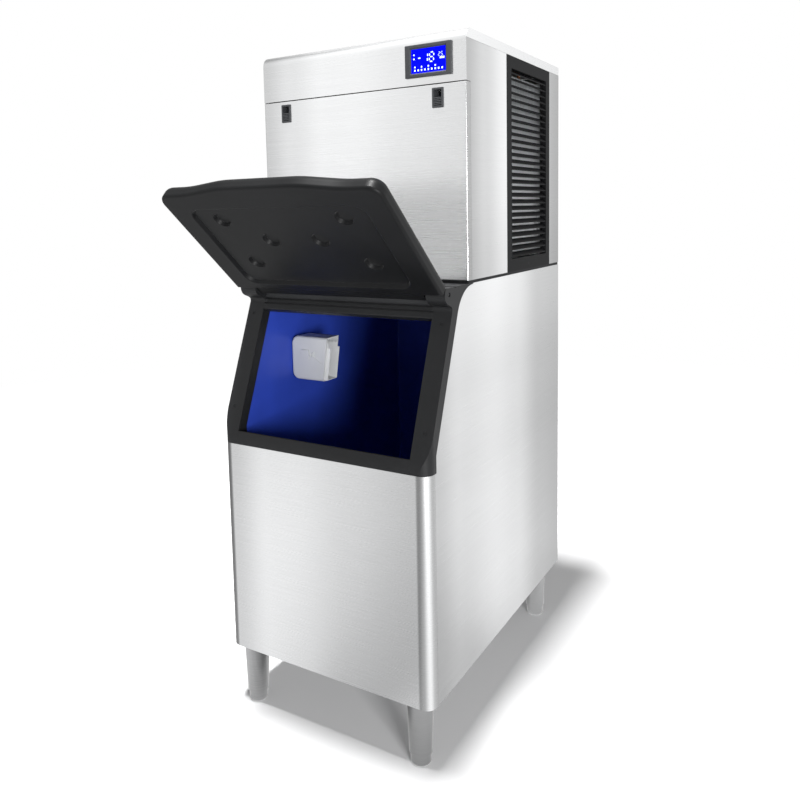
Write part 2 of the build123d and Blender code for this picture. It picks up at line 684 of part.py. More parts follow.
def pocket(left, right, low, high, round_radius):
    """A cup seen from the front: round corners at its closed left end and a leaning mouth at its right end."""
    with BuildSketch() as face:
        with BuildLine():
            Polyline(
                (HOLDER_X + left, HOLDER_Z + low),
                (HOLDER_X + right - HOLDER_LEAN * (1 - low / HOLDER_HEIGHT), HOLDER_Z + low),
                (HOLDER_X + right - HOLDER_LEAN * (1 - high / HOLDER_HEIGHT), HOLDER_Z + high),
                (HOLDER_X + left, HOLDER_Z + high),
                close=True,
            )
        make_face()
        fillet(face.vertices().group_by(Axis.X)[0], round_radius)
    return face.sketch


with BuildPart() as scoop_holder:
    with BuildSketch(at_y(HOLDER_Y + HOLDER_DEPTH)):
        add(pocket(0, HOLDER_LENGTH, 0, HOLDER_HEIGHT, HOLDER_ROUND))
    extrude(amount=HOLDER_DEPTH)
    fillet(scoop_holder.faces().sort_by(Axis.Y)[0].edges().sort_by(Axis.X)[:-1], HOLDER_EDGE)
    with BuildSketch(at_y(HOLDER_Y + HOLDER_DEPTH - HOLDER_WALL)):
        add(
            pocket(
                HOLDER_WALL,
                HOLDER_LENGTH + 1,
                HOLDER_WALL,
                HOLDER_HEIGHT - HOLDER_WALL,
                HOLDER_ROUND - HOLDER_WALL,
            )
        )
    extrude(amount=HOLDER_DEPTH - 2 * HOLDER_WALL, mode=Mode.SUBTRACT)
    with BuildSketch(at_y(HOLDER_Y)):
        with Locations((HOLDER_X + TAB_FROM_WALL, HOLDER_Z + TAB_HEIGHT)):
            RectangleRounded(TAB_SIZE, TAB_SIZE, TAB_ROUND)
        with Locations((HOLDER_X + EYE_FROM_WALL, HOLDER_Z + TAB_HEIGHT)):
            Ellipse(EYE_HALF, EYE_HALF + EYE_WALL)
            Ellipse(EYE_HALF - EYE_WALL, EYE_HALF, mode=Mode.SUBTRACT)
    extrude(amount=TAB_PROUD)
    with BuildSketch(at_y(HOLDER_Y)):
        with BuildLine():
            Polyline(
                (HOLDER_X + FLARE_START, HOLDER_Z + TAB_HEIGHT - TAB_SIZE / 3),
                (HOLDER_X + FLARE_END, HOLDER_Z + TAB_HEIGHT - TAB_SIZE),
                (HOLDER_X + FLARE_END, HOLDER_Z + TAB_HEIGHT + TAB_SIZE / 3),
                (HOLDER_X + FLARE_START, HOLDER_Z + TAB_HEIGHT + TAB_SIZE / 2),
                close=True,
            )
        make_face()
    extrude(amount=-FLARE_DEPTH, mode=Mode.SUBTRACT)
keep(scoop_holder, "scoop_holder")

SCOOP_GAP = 3.0
SCOOP_LEFT = HOLDER_WALL + SCOOP_GAP
SCOOP_LOW = HOLDER_WALL
SCOOP_HIGH = HOLDER_HEIGHT - SCOOP_BELOW_RIM
SCOOP_ROUND = HOLDER_ROUND - HOLDER_WALL
with BuildPart() as scoop:
    with BuildSketch(at_y(HOLDER_Y + HOLDER_DEPTH - HOLDER_WALL - SCOOP_GAP)):
        add(pocket(SCOOP_LEFT, SCOOP_LENGTH, SCOOP_LOW, SCOOP_HIGH, SCOOP_ROUND))
    extrude(amount=HOLDER_DEPTH - 2 * HOLDER_WALL - 2 * SCOOP_GAP)
    with BuildSketch(at_y(HOLDER_Y + HOLDER_DEPTH - HOLDER_WALL - SCOOP_GAP - SCOOP_WALL)):
        add(
            pocket(
                SCOOP_LEFT + SCOOP_WALL,
                SCOOP_LENGTH + 1,
                SCOOP_LOW + SCOOP_WALL,
                HOLDER_HEIGHT,
                SCOOP_ROUND - SCOOP_WALL,
            )
        )
    extrude(
        amount=HOLDER_DEPTH - 2 * HOLDER_WALL - 2 * SCOOP_GAP - 2 * SCOOP_WALL,
        mode=Mode.SUBTRACT,
    )
    with Locations((HOLDER_X + HOLDER_ROUND + 2, HOLDER_Y + HOLDER_DEPTH / 2, HOLDER_Z + SCOOP_HIGH - 2 * GRIP_BAR)):
        Box(GRIP_BAR, HOLDER_DEPTH - 2 * HOLDER_WALL - 2 * SCOOP_GAP, 1.6 * GRIP_BAR)
    slab(
        (HOLDER_X + SCOOP_LENGTH - SCOOP_NOTCH, HOLDER_Y, HOLDER_Z + SCOOP_HIGH - SCOOP_NOTCH),
        (HOLDER_X + SCOOP_LENGTH + 5, HOLDER_Y + HOLDER_DEPTH, HOLDER_Z + HOLDER_HEIGHT),
        mode=Mode.SUBTRACT,
    )
keep(scoop, "scoop")


# Head cabinet

HEAD_BASE_SHEET = 2.5
DROP_SIDE = 65.0
DROP_HALF = HALF - DROP_SIDE
DROP_FRONT = 590.0
DROP_BACK = 487.0
DROP_COLLAR = 14.0
GASKET_WIDTH = 26.0
with BuildPart() as head_gasket:
    slab((-INNER, HEAD_FRONT_Y + 4, BIN_TOP), (INNER, BACK_Y - 2, HEAD_BOTTOM))
    slab(
        (-INNER + GASKET_WIDTH, HEAD_FRONT_Y + GASKET_WIDTH + 4, BIN_TOP),
        (INNER - GASKET_WIDTH, BACK_Y - GASKET_WIDTH, HEAD_BOTTOM),
        mode=Mode.SUBTRACT,
    )
keep(head_gasket, "head_gasket")

BASE_TOP_Z = HEAD_BOTTOM + HEAD_BASE_SHEET
PAN_BACK_Y = HEAD_FRONT_Y + PAN_DEPTH
with BuildPart() as head_base:
    slab((-INNER + FIT, PAN_BACK_Y + SEAM, HEAD_BOTTOM), (INNER - FIT, BACK_Y - SHEET - FIT, BASE_TOP_Z))
    slab(
        (-DROP_HALF - HEAD_BASE_SHEET, BACK_Y - DROP_FRONT - HEAD_BASE_SHEET, BASE_TOP_Z),
        (DROP_HALF + HEAD_BASE_SHEET, BACK_Y - DROP_BACK + HEAD_BASE_SHEET, BASE_TOP_Z + DROP_COLLAR),
    )
    slab(
        (-DROP_HALF, BACK_Y - DROP_FRONT, HEAD_BOTTOM),
        (DROP_HALF, BACK_Y - DROP_BACK, BASE_TOP_Z + DROP_COLLAR),
        mode=Mode.SUBTRACT,
    )
    slab(
        (HALF - GRILLE_SHEET - FIT, BACK_Y - GRILLE_FRONT - SEAM, HEAD_BOTTOM),
        (HALF, BACK_Y - GRILLE_BACK + SEAM, BASE_TOP_Z),
        mode=Mode.SUBTRACT,
    )
keep(head_base, "head_base")

TRIM_Z = HEIGHT - TRIM_HEIGHT
BAND_Z = HEIGHT - BAND_HEIGHT


def cover_side(inset):
    """The cover's side view, with its round front top edge."""
    with BuildSketch() as side_view:
        with BuildLine():
            Polyline(
                (HEAD_FRONT_Y + inset, BAND_Z - inset),
                (BACK_Y - inset, BAND_Z - inset),
                (BACK_Y - inset, HEIGHT - inset),
                (HEAD_FRONT_Y + inset, HEIGHT - inset),
                close=True,
            )
        make_face()
        round_corner = side_view.vertices().sort_by_distance((HEAD_FRONT_Y, HEIGHT))[0]
        fillet(round_corner, TOP_ROUND - inset)
    return side_view.sketch


BAND_RETURN = 10.0
DISPLAY_Z = HEIGHT - DISPLAY_BELOW_TOP
BODY_WIDTH = BEZEL_WIDTH - 12.0
BODY_HEIGHT = BEZEL_HEIGHT - 10.0
with BuildPart() as top_cover:
    with BuildSketch(at_x(-HALF)):
        add(cover_side(0))
    extrude(amount=WIDTH)
    with BuildSketch(at_x(-INNER)):
        add(cover_side(SHEET))
    extrude(amount=2 * INNER, mode=Mode.SUBTRACT)
    slab((-WIDTH, HEAD_FRONT_Y + SHEET, BAND_Z - 1), (WIDTH, BACK_Y + 1, TRIM_Z), mode=Mode.SUBTRACT)
    slab((-INNER, HEAD_FRONT_Y + SHEET, BAND_Z), (INNER, HEAD_FRONT_Y + BAND_RETURN, BAND_Z + SHEET))
    with BuildSketch(at_y(HEAD_FRONT_Y + BAND_RETURN)):
        with Locations((DISPLAY_X, DISPLAY_Z)):
            Rectangle(BODY_WIDTH + 2 * FIT, BODY_HEIGHT + 2 * FIT)
    extrude(amount=2 * BAND_RETURN, mode=Mode.SUBTRACT)
keep(top_cover, "top_cover")

# The left panel runs from the back wrap to the front pan; the right one stops at the grille
HEAD_SIDES = {"head_left_panel": (-1, GRILLE_BACK), "head_right_panel": (1, GRILLE_FRONT)}
for name, (side, back_reach) in HEAD_SIDES.items():
    with BuildPart() as head_side_panel:
        with BuildSketch(at_x(INNER)):
            with BuildLine():
                Polyline(
                    (PAN_BACK_Y + SEAM, HEAD_BOTTOM),
                    (BACK_Y - back_reach - SEAM, HEAD_BOTTOM),
                    (BACK_Y - back_reach - SEAM, TRIM_Z - SEAM),
                    (HEAD_FRONT_Y + SHEET + SEAM, TRIM_Z - SEAM),
                    (HEAD_FRONT_Y + SHEET + SEAM, BAND_Z - SEAM),
                    (PAN_BACK_Y + SEAM, BAND_Z - SEAM),
                    close=True,
                )
            make_face()
        extrude(amount=SHEET)
        slab(
            (INNER - FLANGE, BACK_Y - back_reach - SEAM - SHEET, BASE_TOP_Z + SEAM),
            (INNER, BACK_Y - back_reach - SEAM, TRIM_Z - SEAM),
        )
        if side < 0:
            mirror(about=Plane.YZ, mode=Mode.REPLACE)
    keep(head_side_panel, name)

INLET_FROM_SIDE = 80.0
OUTLET_FROM_SIDE = 130.0
GLAND_FROM_SIDE = 65.0
INLET_X = -HALF + INLET_FROM_SIDE
INLET_Z = HEAD_BOTTOM + 70.0
OUTLET_X = HALF - OUTLET_FROM_SIDE
OUTLET_Z = HEAD_BOTTOM + 34.0
GLAND_X = HALF - GLAND_FROM_SIDE
GLAND_Z = HEAD_BOTTOM + 60.0
GLAND_RADIUS = 10.0
GLAND_BORE = 5.5
TUBE_RADIUS = 10.0
VENT_LENGTH = 120.0
VENT_WIDTH = 5.0
VENT_PITCH = 15.0
VENTS = 12
with BuildPart() as head_back_panel:
    with BuildSketch(at_z(HEAD_BOTTOM)):
        with Locations((0, BACK_Y - GRILLE_BACK / 2)):
            Rectangle(WIDTH, GRILLE_BACK)
        with Locations((0, BACK_Y - GRILLE_BACK / 2 - SHEET)):
            Rectangle(2 * INNER, GRILLE_BACK, mode=Mode.SUBTRACT)
    extrude(amount=TRIM_Z - SEAM - HEAD_BOTTOM)
    with BuildSketch(at_y(BACK_Y + 1)):
        with Locations((INLET_X, INLET_Z)):
            Circle(THREAD_RADIUS + FIT)
        with Locations((OUTLET_X, OUTLET_Z)):
            Circle(TUBE_RADIUS + FIT)
        with Locations((GLAND_X, GLAND_Z)):
            Circle(GLAND_RADIUS + FIT)
        with Locations((0, HEAD_BOTTOM + HEAD_HEIGHT * 0.6)):
            with GridLocations(VENT_LENGTH + 16.0, VENT_PITCH, 2, VENTS):
                SlotOverall(VENT_LENGTH, VENT_WIDTH)
    extrude(amount=4, mode=Mode.SUBTRACT)
keep(head_back_panel, "head_back_panel")

PAN_TOP_Z = BAND_Z - PAN_BELOW_BAND
LATCH_Z = BAND_Z - LATCH_BELOW_BAND
LATCH_BODY_WIDTH = LATCH_WIDTH - 5.0
LATCH_BODY_HEIGHT = LATCH_HEIGHT - 5.0
with BuildPart() as head_front_panel:
    slab((-HALF, HEAD_FRONT_Y, HEAD_BOTTOM), (HALF, PAN_BACK_Y, PAN_TOP_Z))
    fillet(head_front_panel.faces().sort_by(Axis.Y)[0].edges(), 2.0)
    slab(
        (-INNER, HEAD_FRONT_Y + SHEET, HEAD_BOTTOM + SHEET),
        (INNER, PAN_BACK_Y + 1, PAN_TOP_Z - SHEET),
        mode=Mode.SUBTRACT,
    )
    with BuildSketch(at_y(HEAD_FRONT_Y + 2 * SHEET)):
        with Locations((-LATCH_X, LATCH_Z), (LATCH_X, LATCH_Z)):
            Rectangle(LATCH_BODY_WIDTH + 2 * FIT, LATCH_BODY_HEIGHT + 2 * FIT)
    extrude(amount=4 * SHEET, mode=Mode.SUBTRACT)
keep(head_front_panel, "head_front_panel")


# Latches of the front panel: a housing with a square well and a ribbed slider

WELL_WIDTH = LATCH_WIDTH - 9.0
WELL_HEIGHT = LATCH_HEIGHT - 9.0
SLIDER_GAP = 0.3
SLIDER_LOW = LATCH_Z - WELL_HEIGHT / 2 + SLIDER_GAP
SLIDER_THICK = 6.0
for side, name in ((-1, "left"), (1, "right")):
    centre_x = side * LATCH_X
    with BuildPart() as latch_housing:
        with BuildSketch(at_y(HEAD_FRONT_Y)):
            with Locations((centre_x, LATCH_Z)):
                RectangleRounded(LATCH_WIDTH, LATCH_HEIGHT, LATCH_CORNER)
        extrude(amount=LATCH_PROUD)
        chamfer(latch_housing.faces().sort_by(Axis.Y)[0].edges(), LATCH_CHAMFER)
        slab(
            (centre_x - LATCH_BODY_WIDTH / 2, HEAD_FRONT_Y, LATCH_Z - LATCH_BODY_HEIGHT / 2),
            (centre_x + LATCH_BODY_WIDTH / 2, HEAD_FRONT_Y + LATCH_DEPTH, LATCH_Z + LATCH_BODY_HEIGHT / 2),
        )
        slab(
            (centre_x - WELL_WIDTH / 2, HEAD_FRONT_Y - LATCH_DEPTH, LATCH_Z - WELL_HEIGHT / 2),
            (centre_x + WELL_WIDTH / 2, HEAD_FRONT_Y + LATCH_DEPTH - LATCH_BACK_WALL, LATCH_Z + WELL_HEIGHT / 2),
            mode=Mode.SUBTRACT,
        )
        slab(
            (centre_x - TONGUE_HALF - FIT, HEAD_FRONT_Y, LATCH_Z - WELL_HEIGHT / 2),
            (centre_x + TONGUE_HALF + FIT, HEAD_FRONT_Y + LATCH_DEPTH + 1, LATCH_Z + WELL_HEIGHT / 2),
            mode=Mode.SUBTRACT,
        )
    keep(latch_housing, f"latch_housing_{name}")

    with BuildPart() as latch_slider:
        slider_x = WELL_WIDTH / 2 - SLIDER_GAP
        slider_back = HEAD_FRONT_Y + LATCH_DEPTH - LATCH_BACK_WALL - SLIDER_GAP
        slab(
            (centre_x - slider_x, slider_back - SLIDER_THICK, SLIDER_LOW),
            (centre_x + slider_x, slider_back, SLIDER_LOW + SLIDER_HEIGHT),
        )
        for rib in range(SLIDER_RIBS):
            rib_z = SLIDER_LOW + RIB_PITCH * (rib + 5 / 9)
            slab(
                (centre_x - slider_x, HEAD_FRONT_Y - LATCH_PROUD + 0.6, rib_z),
                (centre_x + slider_x, slider_back - SLIDER_THICK, rib_z + RIB_PITCH / 2),
            )
        slab(
            (centre_x - TONGUE_HALF, slider_back, SLIDER_LOW + TONGUE_Z[0]),
            (centre_x + TONGUE_HALF, slider_back + TONGUE_REACH, SLIDER_LOW + TONGUE_Z[1]),
        )
    keep(latch_slider, f"latch_slider_{name}")


# Display: a bevelled bezel through the band and a flat screen set into it

SCREEN_RECESS = 3.4
with BuildPart() as display_bezel:
    with BuildSketch(at_y(HEAD_FRONT_Y)):
        with Locations((DISPLAY_X, DISPLAY_Z)):
            RectangleRounded(BEZEL_WIDTH, BEZEL_HEIGHT, 2.0)
    extrude(amount=BEZEL_PROUD)
    chamfer(display_bezel.faces().sort_by(Axis.Y)[0].edges(), 1.5)
    slab(
        (DISPLAY_X - BODY_WIDTH / 2, HEAD_FRONT_Y, DISPLAY_Z - BODY_HEIGHT / 2),
        (DISPLAY_X + BODY_WIDTH / 2, HEAD_FRONT_Y + 18.0, DISPLAY_Z + BODY_HEIGHT / 2),
    )
    with BuildSketch(at_y(HEAD_FRONT_Y - BEZEL_PROUD)):
        with Locations((DISPLAY_X, DISPLAY_Z)):
            Rectangle(SCREEN_WIDTH + 6.0, SCREEN_HEIGHT + 6.0)
    extrude(amount=-SCREEN_RECESS, taper=40, mode=Mode.SUBTRACT)
    with BuildSketch(at_y(HEAD_FRONT_Y - BEZEL_PROUD + SCREEN_RECESS)):
        with Locations((DISPLAY_X, DISPLAY_Z)):
            Rectangle(SCREEN_WIDTH, SCREEN_HEIGHT)
    extrude(amount=-3.0, mode=Mode.SUBTRACT)
keep(display_bezel, "display_bezel")

with BuildPart() as display_screen:
    with BuildSketch(at_y(HEAD_FRONT_Y - BEZEL_PROUD + SCREEN_RECESS + 3.0)):
        with Locations((DISPLAY_X, DISPLAY_Z)):
            Rectangle(SCREEN_WIDTH - 0.2, SCREEN_HEIGHT - 0.2)
    extrude(amount=2.6)
keep(display_screen, "display_screen")


# Side grille: one moulded panel with a row of sloping louvres

GRILLE_FRONT_Y = BACK_Y - GRILLE_FRONT
GRILLE_BACK_Y = BACK_Y - GRILLE_BACK
SLOT_PITCH = (WINDOW_HIGH - WINDOW_LOW) / SLOTS
GRILLE_SCREW_ABOVE = 13.2
GRILLE_SCREW_FROM_BACK = 242.0
GRILLE_SCREW_Z = HEAD_BOTTOM + GRILLE_SCREW_ABOVE
GRILLE_SCREW_Y = BACK_Y - GRILLE_SCREW_FROM_BACK
SCREW_RADIUS = 2.0
SCREW_HEAD = 3.6
with BuildPart() as side_grille:
    slab(
        (HALF - GRILLE_SHEET, GRILLE_FRONT_Y, HEAD_BOTTOM),
        (HALF, GRILLE_BACK_Y - SEAM, TRIM_Z - SEAM),
    )
    slab(
        (HALF - GRILLE_RIM - 4, BACK_Y - WINDOW_FRONT - 3, HEAD_BOTTOM + WINDOW_LOW - 3),
        (HALF - GRILLE_SHEET, BACK_Y - WINDOW_BACK + 3, HEAD_BOTTOM + WINDOW_HIGH + 3),
    )
    slab(
        (HALF - 2 * GRILLE_RIM, BACK_Y - WINDOW_FRONT, HEAD_BOTTOM + WINDOW_LOW),
        (HALF + 1, BACK_Y - WINDOW_BACK, HEAD_BOTTOM + WINDOW_HIGH),
        mode=Mode.SUBTRACT,
    )
    for slot in range(SLOTS):
        low_z = HEAD_BOTTOM + WINDOW_LOW + slot * SLOT_PITCH
        lip_z = low_z + SLAT_ABOVE_PITCH
        outer_x = HALF - SLAT_SUNK
        with BuildSketch(at_y(BACK_Y - WINDOW_BACK)):
            with BuildLine():
                Polyline(
                    (outer_x, lip_z),
                    (outer_x, lip_z + SLAT_LIP),
                    (outer_x - SLAT_THICKNESS, lip_z + SLAT_LIP),
                    (outer_x - SLAT_DEPTH, lip_z + SLAT_DROP + SLAT_THICKNESS),
                    (outer_x - SLAT_DEPTH, lip_z + SLAT_DROP),
                    close=True,
                )
            make_face()
        extrude(amount=WINDOW_FRONT - WINDOW_BACK)
    with BuildSketch(at_x(HALF + 1)):
        with Locations((GRILLE_SCREW_Y, GRILLE_SCREW_Z)):
            Circle(SCREW_RADIUS)
    extrude(amount=-2 * GRILLE_SHEET, mode=Mode.SUBTRACT)
    with BuildSketch(at_x(HALF)):
        with Locations((GRILLE_SCREW_Y, GRILLE_SCREW_Z)):
            Circle(SCREW_HEAD + 0.2)
    extrude(amount=-1.0, mode=Mode.SUBTRACT)
keep(side_grille, "side_grille")

# Screws: four flat plugs in the jambs and one small screw at the foot of the grille
with BuildPart() as panel_screws:
    for side in (-1, 1):
        for screw_z in JAMB_SCREWS_Z:
            seat = lip_point(screw_z, SCREW_WELL)
            face = Plane(
                origin=(side * (HALF - JAMB_SCREW_INSET), seat[0], seat[1]),
                x_dir=(1, 0, 0),
                z_dir=(0, -SLOPE_COS, SLOPE_SIN),
            )
            with BuildSketch(face):
                Circle(PLUG_SCREW_RADIUS - 0.2)
            extrude(amount=SCREW_WELL - 0.6)
    with BuildSketch(at_x(HALF - 1.0)):
        with Locations((GRILLE_SCREW_Y, GRILLE_SCREW_Z)):
            Circle(SCREW_HEAD)
    extrude(amount=0.9)
    with BuildSketch(at_x(HALF - 1.0)):
        with Locations((GRILLE_SCREW_Y, GRILLE_SCREW_Z)):
            Circle(SCREW_RADIUS - 0.1)
    extrude(amount=-8.0)
keep(panel_screws, "panel_screws")


# Inside the head: a bulkhead parts the wet front from the dry rear

CELL = 21.0
CELL_PITCH = 24.0
CELL_SIDE_ROOM = 105.0
CELL_COLUMNS = int(2 * (INNER - CELL_SIDE_ROOM) / CELL_PITCH)
CELL_ROWS = 12
EVAPORATOR_RIM = 2.0
EVAPORATOR_HALF = CELL_COLUMNS * CELL_PITCH / 2 + EVAPORATOR_RIM
COIL_INSET = 28.0
COIL_HALF = EVAPORATOR_HALF - COIL_INSET
COIL_PORT_X = COIL_HALF + 8.0
BULKHEAD_FRONT = 410.0
BULKHEAD_SHEET = 5.0
BULKHEAD_Y = BACK_Y - BULKHEAD_FRONT
ROOF_Z = HEIGHT - SHEET
COIL_RADIUS = 4.75
EVAPORATOR_ABOVE_BASE = 285.0
EVAPORATOR_Z = HEAD_BOTTOM + EVAPORATOR_ABOVE_BASE
COIL_REACH = 125.0
COIL_PORT_Z = (EVAPORATOR_Z - COIL_REACH, EVAPORATOR_Z + COIL_REACH)
with BuildPart() as bulkhead:
    slab(
        (-INNER + FLANGE + 1, BULKHEAD_Y, BASE_TOP_Z),
        (INNER - FLANGE - 1, BULKHEAD_Y + BULKHEAD_SHEET, ROOF_Z),
    )
    with BuildSketch(at_y(BULKHEAD_Y + 2 * BULKHEAD_SHEET)):
        for port_z in COIL_PORT_Z:
            with Locations((COIL_PORT_X, port_z)):
                Circle(COIL_RADIUS + 1.0)
    extrude(amount=3 * BULKHEAD_SHEET, mode=Mode.SUBTRACT)
keep(bulkhead, "bulkhead")

# Evaporator: a grid of cube cells facing the front, held off the bulkhead by four bosses
CELL_DEPTH = 20.0
PLATE = 3.0
EVAPORATOR_GAP = 16.0
BOSS_INSET = 8.0
EVAPORATOR_BACK_Y = BULKHEAD_Y - EVAPORATOR_GAP
EVAPORATOR_RISE = CELL_ROWS * CELL_PITCH / 2 + EVAPORATOR_RIM
EVAPORATOR_FRONT_Y = EVAPORATOR_BACK_Y - PLATE - CELL_DEPTH
BOSS_RADIUS = 6.0
with BuildPart() as evaporator:
    with BuildSketch(at_y(EVAPORATOR_BACK_Y)):
        with Locations((0, EVAPORATOR_Z)):
            Rectangle(2 * EVAPORATOR_HALF, 2 * EVAPORATOR_RISE)
    extrude(amount=PLATE + CELL_DEPTH)
    with BuildSketch(at_y(EVAPORATOR_BACK_Y - PLATE)):
        with Locations((0, EVAPORATOR_Z)):
            with GridLocations(CELL_PITCH, CELL_PITCH, CELL_COLUMNS, CELL_ROWS):
                Rectangle(CELL, CELL)
    extrude(amount=CELL_DEPTH, mode=Mode.SUBTRACT)
    with BuildSketch(at_y(BULKHEAD_Y)):
        with Locations((0, EVAPORATOR_Z)):
            with GridLocations(2 * (EVAPORATOR_HALF - BOSS_INSET), 2 * (EVAPORATOR_RISE - BOSS_INSET), 2, 2):
                Circle(BOSS_RADIUS)
    extrude(amount=EVAPORATOR_GAP)
keep(evaporator, "evaporator")

# The refrigerant coil runs to and fro on the plate's back, and both its ends pass through the bulkhead
COIL_RUNS = 5
COIL_SEAT = 0.2
COIL_END_Y = BULKHEAD_Y + 30.0
COIL_Y = EVAPORATOR_BACK_Y + COIL_RADIUS + COIL_SEAT
COIL_PITCH = (COIL_PORT_Z[1] - COIL_PORT_Z[0]) / COIL_RUNS
COIL_BEND = 5.9
with BuildPart() as evaporator_coil:
    with BuildLine() as coil_path:
        coil_points = [(COIL_PORT_X, COIL_END_Y, COIL_PORT_Z[0]), (COIL_PORT_X, COIL_Y, COIL_PORT_Z[0])]
        coil_points.append((-COIL_HALF, COIL_Y, COIL_PORT_Z[0]))
        for run in range(1, COIL_RUNS):
            run_z = COIL_PORT_Z[0] + run * COIL_PITCH
            start_x = -COIL_HALF if run % 2 else COIL_HALF
            coil_points += [(start_x, COIL_Y, run_z), (-start_x, COIL_Y, run_z)]
        coil_points += [
            (coil_points[-1][0], COIL_Y, COIL_PORT_Z[1]),
            (COIL_PORT_X, COIL_Y, COIL_PORT_Z[1]),
            (COIL_PORT_X, COIL_END_Y, COIL_PORT_Z[1]),
        ]
        FilletPolyline(*coil_points, radius=COIL_BEND)
    with BuildSketch(Plane(origin=coil_path.line @ 0, z_dir=coil_path.line % 0)):
        Circle(COIL_RADIUS)
    sweep(transition=Transition.ROUND)
keep(evaporator_coil, "evaporator_coil")

# Water curtain, hung on two pins in front of the cells, and the hangers that carry it and the spray tube
CURTAIN_Y = EVAPORATOR_FRONT_Y - 10.0
CURTAIN_PIVOT_Z = EVAPORATOR_Z + EVAPORATOR_RISE + 12.0
CURTAIN_HALF = EVAPORATOR_HALF + 8.0
CURTAIN_LENGTH = 330.0
CURTAIN_SHEET = 2.4
CURTAIN_EYE = 5.5
CURTAIN_KICK = 4.0
KICK_HEIGHT = 20.0
CURTAIN_PIN = 3.0
HANGER_X = CURTAIN_HALF + 4.0
HANGER_SHEET = 3.0
SPRAY_RADIUS = 9.0
SPRAY_Y = EVAPORATOR_BACK_Y - 14.0
SPRAY_Z = EVAPORATOR_Z + EVAPORATOR_RISE + 18.0
with BuildPart() as curtain_hangers:
    with BuildSketch(at_x(HANGER_X)):
        with BuildLine():
            Polyline(
                (BULKHEAD_Y, CURTAIN_PIVOT_Z - 20.0),
                (BULKHEAD_Y, CURTAIN_PIVOT_Z + 24.0),
                (SPRAY_Y - 14.0, CURTAIN_PIVOT_Z + 24.0),
                (CURTAIN_Y - 8.0, CURTAIN_PIVOT_Z + 7.0),
                (CURTAIN_Y - 8.0, CURTAIN_PIVOT_Z - 8.0),
                close=True,
            )
        make_face()
        with Locations((CURTAIN_Y, CURTAIN_PIVOT_Z)):
            Circle(CURTAIN_PIN + RUNNING, mode=Mode.SUBTRACT)
        with Locations((SPRAY_Y, SPRAY_Z)):
            Circle(SPRAY_RADIUS + 0.05, mode=Mode.SUBTRACT)
    extrude(amount=HANGER_SHEET)
    mirror(about=Plane.YZ)
keep(curtain_hangers, "curtain_hangers")

with BuildPart() as water_curtain:
    with BuildSketch(at_x(-CURTAIN_HALF)):
        with Locations((CURTAIN_Y, CURTAIN_PIVOT_Z)):
            Circle(CURTAIN_EYE)
        with BuildLine():
            Polyline(
                (CURTAIN_Y - CURTAIN_SHEET / 2, CURTAIN_PIVOT_Z),
                (CURTAIN_Y - CURTAIN_SHEET / 2, CURTAIN_PIVOT_Z - CURTAIN_LENGTH + KICK_HEIGHT),
                (CURTAIN_Y + CURTAIN_KICK, CURTAIN_PIVOT_Z - CURTAIN_LENGTH),
                (CURTAIN_Y + CURTAIN_KICK + CURTAIN_SHEET, CURTAIN_PIVOT_Z - CURTAIN_LENGTH),
                (CURTAIN_Y + CURTAIN_SHEET / 2, CURTAIN_PIVOT_Z - CURTAIN_LENGTH + KICK_HEIGHT + 1.0),
                (CURTAIN_Y + CURTAIN_SHEET / 2, CURTAIN_PIVOT_Z),
                close=True,
            )
        make_face()
    extrude(amount=2 * CURTAIN_HALF)
    with BuildSketch(at_x(-HANGER_X - HANGER_SHEET)):
        with Locations((CURTAIN_Y, CURTAIN_PIVOT_Z)):
            Circle(CURTAIN_PIN)
    extrude(amount=2 * (HANGER_X + HANGER_SHEET))
keep(water_curtain, "water_curtain")

with BuildPart() as spray_tube:
    with BuildSketch(at_x(-HANGER_X - HANGER_SHEET - 6)):
        with Locations((SPRAY_Y, SPRAY_Z)):
            Circle(SPRAY_RADIUS)
    extrude(amount=2 * (HANGER_X + HANGER_SHEET + 6))
    with BuildSketch(at_z(SPRAY_Z - SPRAY_RADIUS - 1)):
        with Locations((0, SPRAY_Y)):
            with GridLocations(CELL_PITCH, 1, CELL_COLUMNS, 1):
                Rectangle(3.0, 3.0)
    extrude(amount=4.0, mode=Mode.SUBTRACT)
keep(spray_tube, "spray_tube")

# Water trough under the cells, with its pump at the right end and its float valve at the left end
TROUGH_SIDE_GAP = 26.8
TROUGH_HALF = INNER - TROUGH_SIDE_GAP
TROUGH_FOOT_INSET = 30.0
TROUGH_FOOT_HALF = 12.0
TROUGH_ROUND = 8.0
TROUGH_FRONT_Y = CURTAIN_Y - 6.0
TROUGH_LOW_Z = HEAD_BOTTOM + 26.0
TROUGH_TOP_Z = HEAD_BOTTOM + 92.0
TROUGH_WALL = 2.5
RIM_SHEET = 2.5
with BuildPart() as water_trough:
    slab((-TROUGH_HALF, TROUGH_FRONT_Y, TROUGH_LOW_Z), (TROUGH_HALF, BULKHEAD_Y, TROUGH_TOP_Z))
    fillet(water_trough.edges().filter_by(Axis.X).group_by(Axis.Z)[0], TROUGH_ROUND)
    slab(
        (-TROUGH_HALF + TROUGH_WALL, TROUGH_FRONT_Y + TROUGH_WALL, TROUGH_LOW_Z + TROUGH_WALL + 4),
        (TROUGH_HALF - TROUGH_WALL, BULKHEAD_Y - TROUGH_WALL, TROUGH_TOP_Z + 1),
        mode=Mode.SUBTRACT,
    )
    for foot_x in (-TROUGH_HALF + TROUGH_FOOT_INSET, TROUGH_HALF - TROUGH_FOOT_INSET):
        slab(
            (foot_x - TROUGH_FOOT_HALF, BULKHEAD_Y - 3 * TROUGH_FOOT_HALF, BASE_TOP_Z),
            (foot_x + TROUGH_FOOT_HALF, BULKHEAD_Y - TROUGH_FOOT_HALF, TROUGH_LOW_Z + 2.0),
        )
keep(water_trough, "water_trough")

